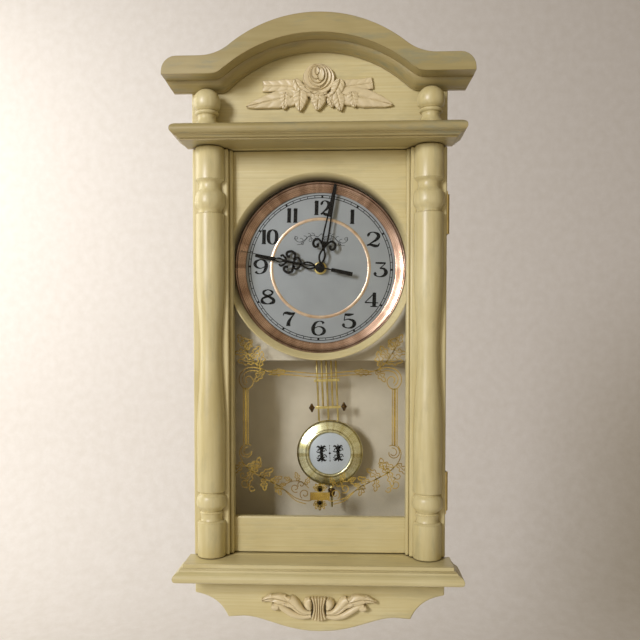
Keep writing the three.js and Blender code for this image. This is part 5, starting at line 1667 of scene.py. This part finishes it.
# ---- stage ----------------------------------------------------------------------------------------
class CLOCK_OT_stage(bpy.types.Operator):
    """Sets up the pale backdrop, the soft lights and the camera"""

    bl_idname = "clock.stage"
    bl_label = "Stage"

    # name, place, target, width and height in metres, watts and colour
    lamps = (
        ("window_light", (-1.3, -1.95, 0.68), (0, -0.06, 0.02), (0.5, 0.7), 40, "#F6F5FF"),
        ("room_wall", (0.5, -3.4, 0.7), (0, -0.06, 0.02), (5.0, 3.2), 18, "#FFF0DA"),
        ("wall_light", (-1.6, 0.5, 0.5), (-0.5, 1.5, -0.1), (1.6, 1.6), 24, "#FFFCF8"),
    )

    def backdrop(self):
        """A floor that sweeps up into a wall well behind the clock."""
        floor, wall, bend, reach = -760, 1500, 500, 6000
        bm = bmesh.new()
        profile = [(-reach, floor), (wall - bend, floor)]
        profile += [(wall - bend + y, floor + bend + z) for y, z in arc(0, 0, bend, -90, 0, 16)]
        profile += [(wall, 3400)]
        verts = [bm.verts.new((-reach, y, z)) for y, z in profile]
        edges = [bm.edges.new(pair) for pair in zip(verts, verts[1:])]
        drawn = bmesh.ops.extrude_edge_only(bm, edges=edges)["geom"]
        moved = [v for v in drawn if isinstance(v, bmesh.types.BMVert)]
        bmesh.ops.translate(bm, vec=(2 * reach, 0, 0), verts=moved)
        bmesh.ops.scale(bm, vec=(MM,) * 3, verts=bm.verts)
        mesh = bpy.data.meshes.new("backdrop")
        bm.to_mesh(mesh)
        bm.free()
        mesh.shade_smooth()
        sweep = bpy.data.objects.new("backdrop", mesh)
        mesh.materials.append(material_of("pale_wall"))
        bpy.context.scene.collection.objects.link(sweep)

    def lamp(self, name, place, target, size, watts, colour):
        light = bpy.data.lights.new(name, "AREA")
        light.shape = "RECTANGLE"
        light.size, light.size_y = size
        light.energy = watts
        light.color = linear(colour)[:3]
        holder = bpy.data.objects.new(name, light)
        holder.location = place
        holder.rotation_euler = (Vector(target) - Vector(place)).to_track_quat("-Z", "Y").to_euler()
        holder.visible_camera = False
        bpy.context.scene.collection.objects.link(holder)

    def surroundings(self, scene):
        """A dim warm room. The camera sees a pale tone past the backdrop, which lights nothing."""
        world = bpy.data.worlds.new("soft_room")
        world.use_nodes = True
        tree = world.node_tree
        room = tree.nodes["Background"]
        room.inputs["Color"].default_value = linear("#EBCF9A")
        room.inputs["Strength"].default_value = 0.14
        pale = add_node(tree, "ShaderNodeBackground", {
            "Color": scene.clock_colours.wall, "Strength": 0.62,
        })
        seen = add_node(tree, "ShaderNodeLightPath").outputs["Is Camera Ray"]
        either = add_node(tree, "ShaderNodeMixShader", {
            0: seen, 1: room.outputs["Background"], 2: pale.outputs["Background"],
        })
        tree.links.new(either.outputs["Shader"], tree.nodes["World Output"].inputs["Surface"])
        scene.world = world

    def camera(self, scene):
        """Stands close in front, a little right of the middle, and looks slightly down and left."""
        lens = bpy.data.cameras.new("eye_level_camera")
        lens.sensor_width = 36
        lens.lens = 41.97
        lens.shift_y = 0.075
        camera = bpy.data.objects.new("eye_level_camera", lens)
        camera.location = (0.0345, -0.8676, 0.015)
        camera.rotation_euler = (math.radians(90 - 2.11), 0, math.radians(2.44))
        scene.collection.objects.link(camera)
        scene.camera = camera

    def execute(self, context):
        scene = context.scene
        self.backdrop()
        for settings in self.lamps:
            self.lamp(*settings)
        self.surroundings(scene)
        scene.view_settings.view_transform = "Standard"
        self.camera(scene)
        return {"FINISHED"}


# ---- panel and registration -----------------------------------------------------------------------
OPERATORS = (
    CLOCK_OT_stage, CLOCK_OT_boards, CLOCK_OT_ledges, CLOCK_OT_crown, CLOCK_OT_columns, CLOCK_OT_mask,
    CLOCK_OT_rose, CLOCK_OT_scroll, CLOCK_OT_dial, CLOCK_OT_hands, CLOCK_OT_pendulum, CLOCK_OT_glass,
    CLOCK_OT_hardware, CLOCK_OT_movement,
)


class CLOCK_PT_panel(bpy.types.Panel):
    """Lists the clock's sizes, colours and pieces"""

    bl_idname = "CLOCK_PT_panel"
    bl_label = "Wall Clock"
    bl_space_type = "VIEW_3D"
    bl_region_type = "UI"
    bl_category = "Wall Clock"

    def draw(self, context):
        for group in (context.scene.clock_sizes, context.scene.clock_colours):
            for name in group.__annotations__:
                self.layout.prop(group, name)
        for operator in OPERATORS:
            self.layout.operator(operator.bl_idname)


CLASSES = (ClockSizes, ClockColours, *OPERATORS, CLOCK_PT_panel)


def register():
    for item in CLASSES:
        bpy.utils.register_class(item)
    bpy.types.Scene.clock_sizes = PointerProperty(type=ClockSizes)
    bpy.types.Scene.clock_colours = PointerProperty(type=ClockColours)


def unregister():
    del bpy.types.Scene.clock_colours
    del bpy.types.Scene.clock_sizes
    for item in reversed(CLASSES):
        bpy.utils.unregister_class(item)


def main():
    register()
    for operator in OPERATORS:
        getattr(bpy.ops.clock, operator.bl_idname.split(".")[1])()


if __name__ == "__main__":
    main()
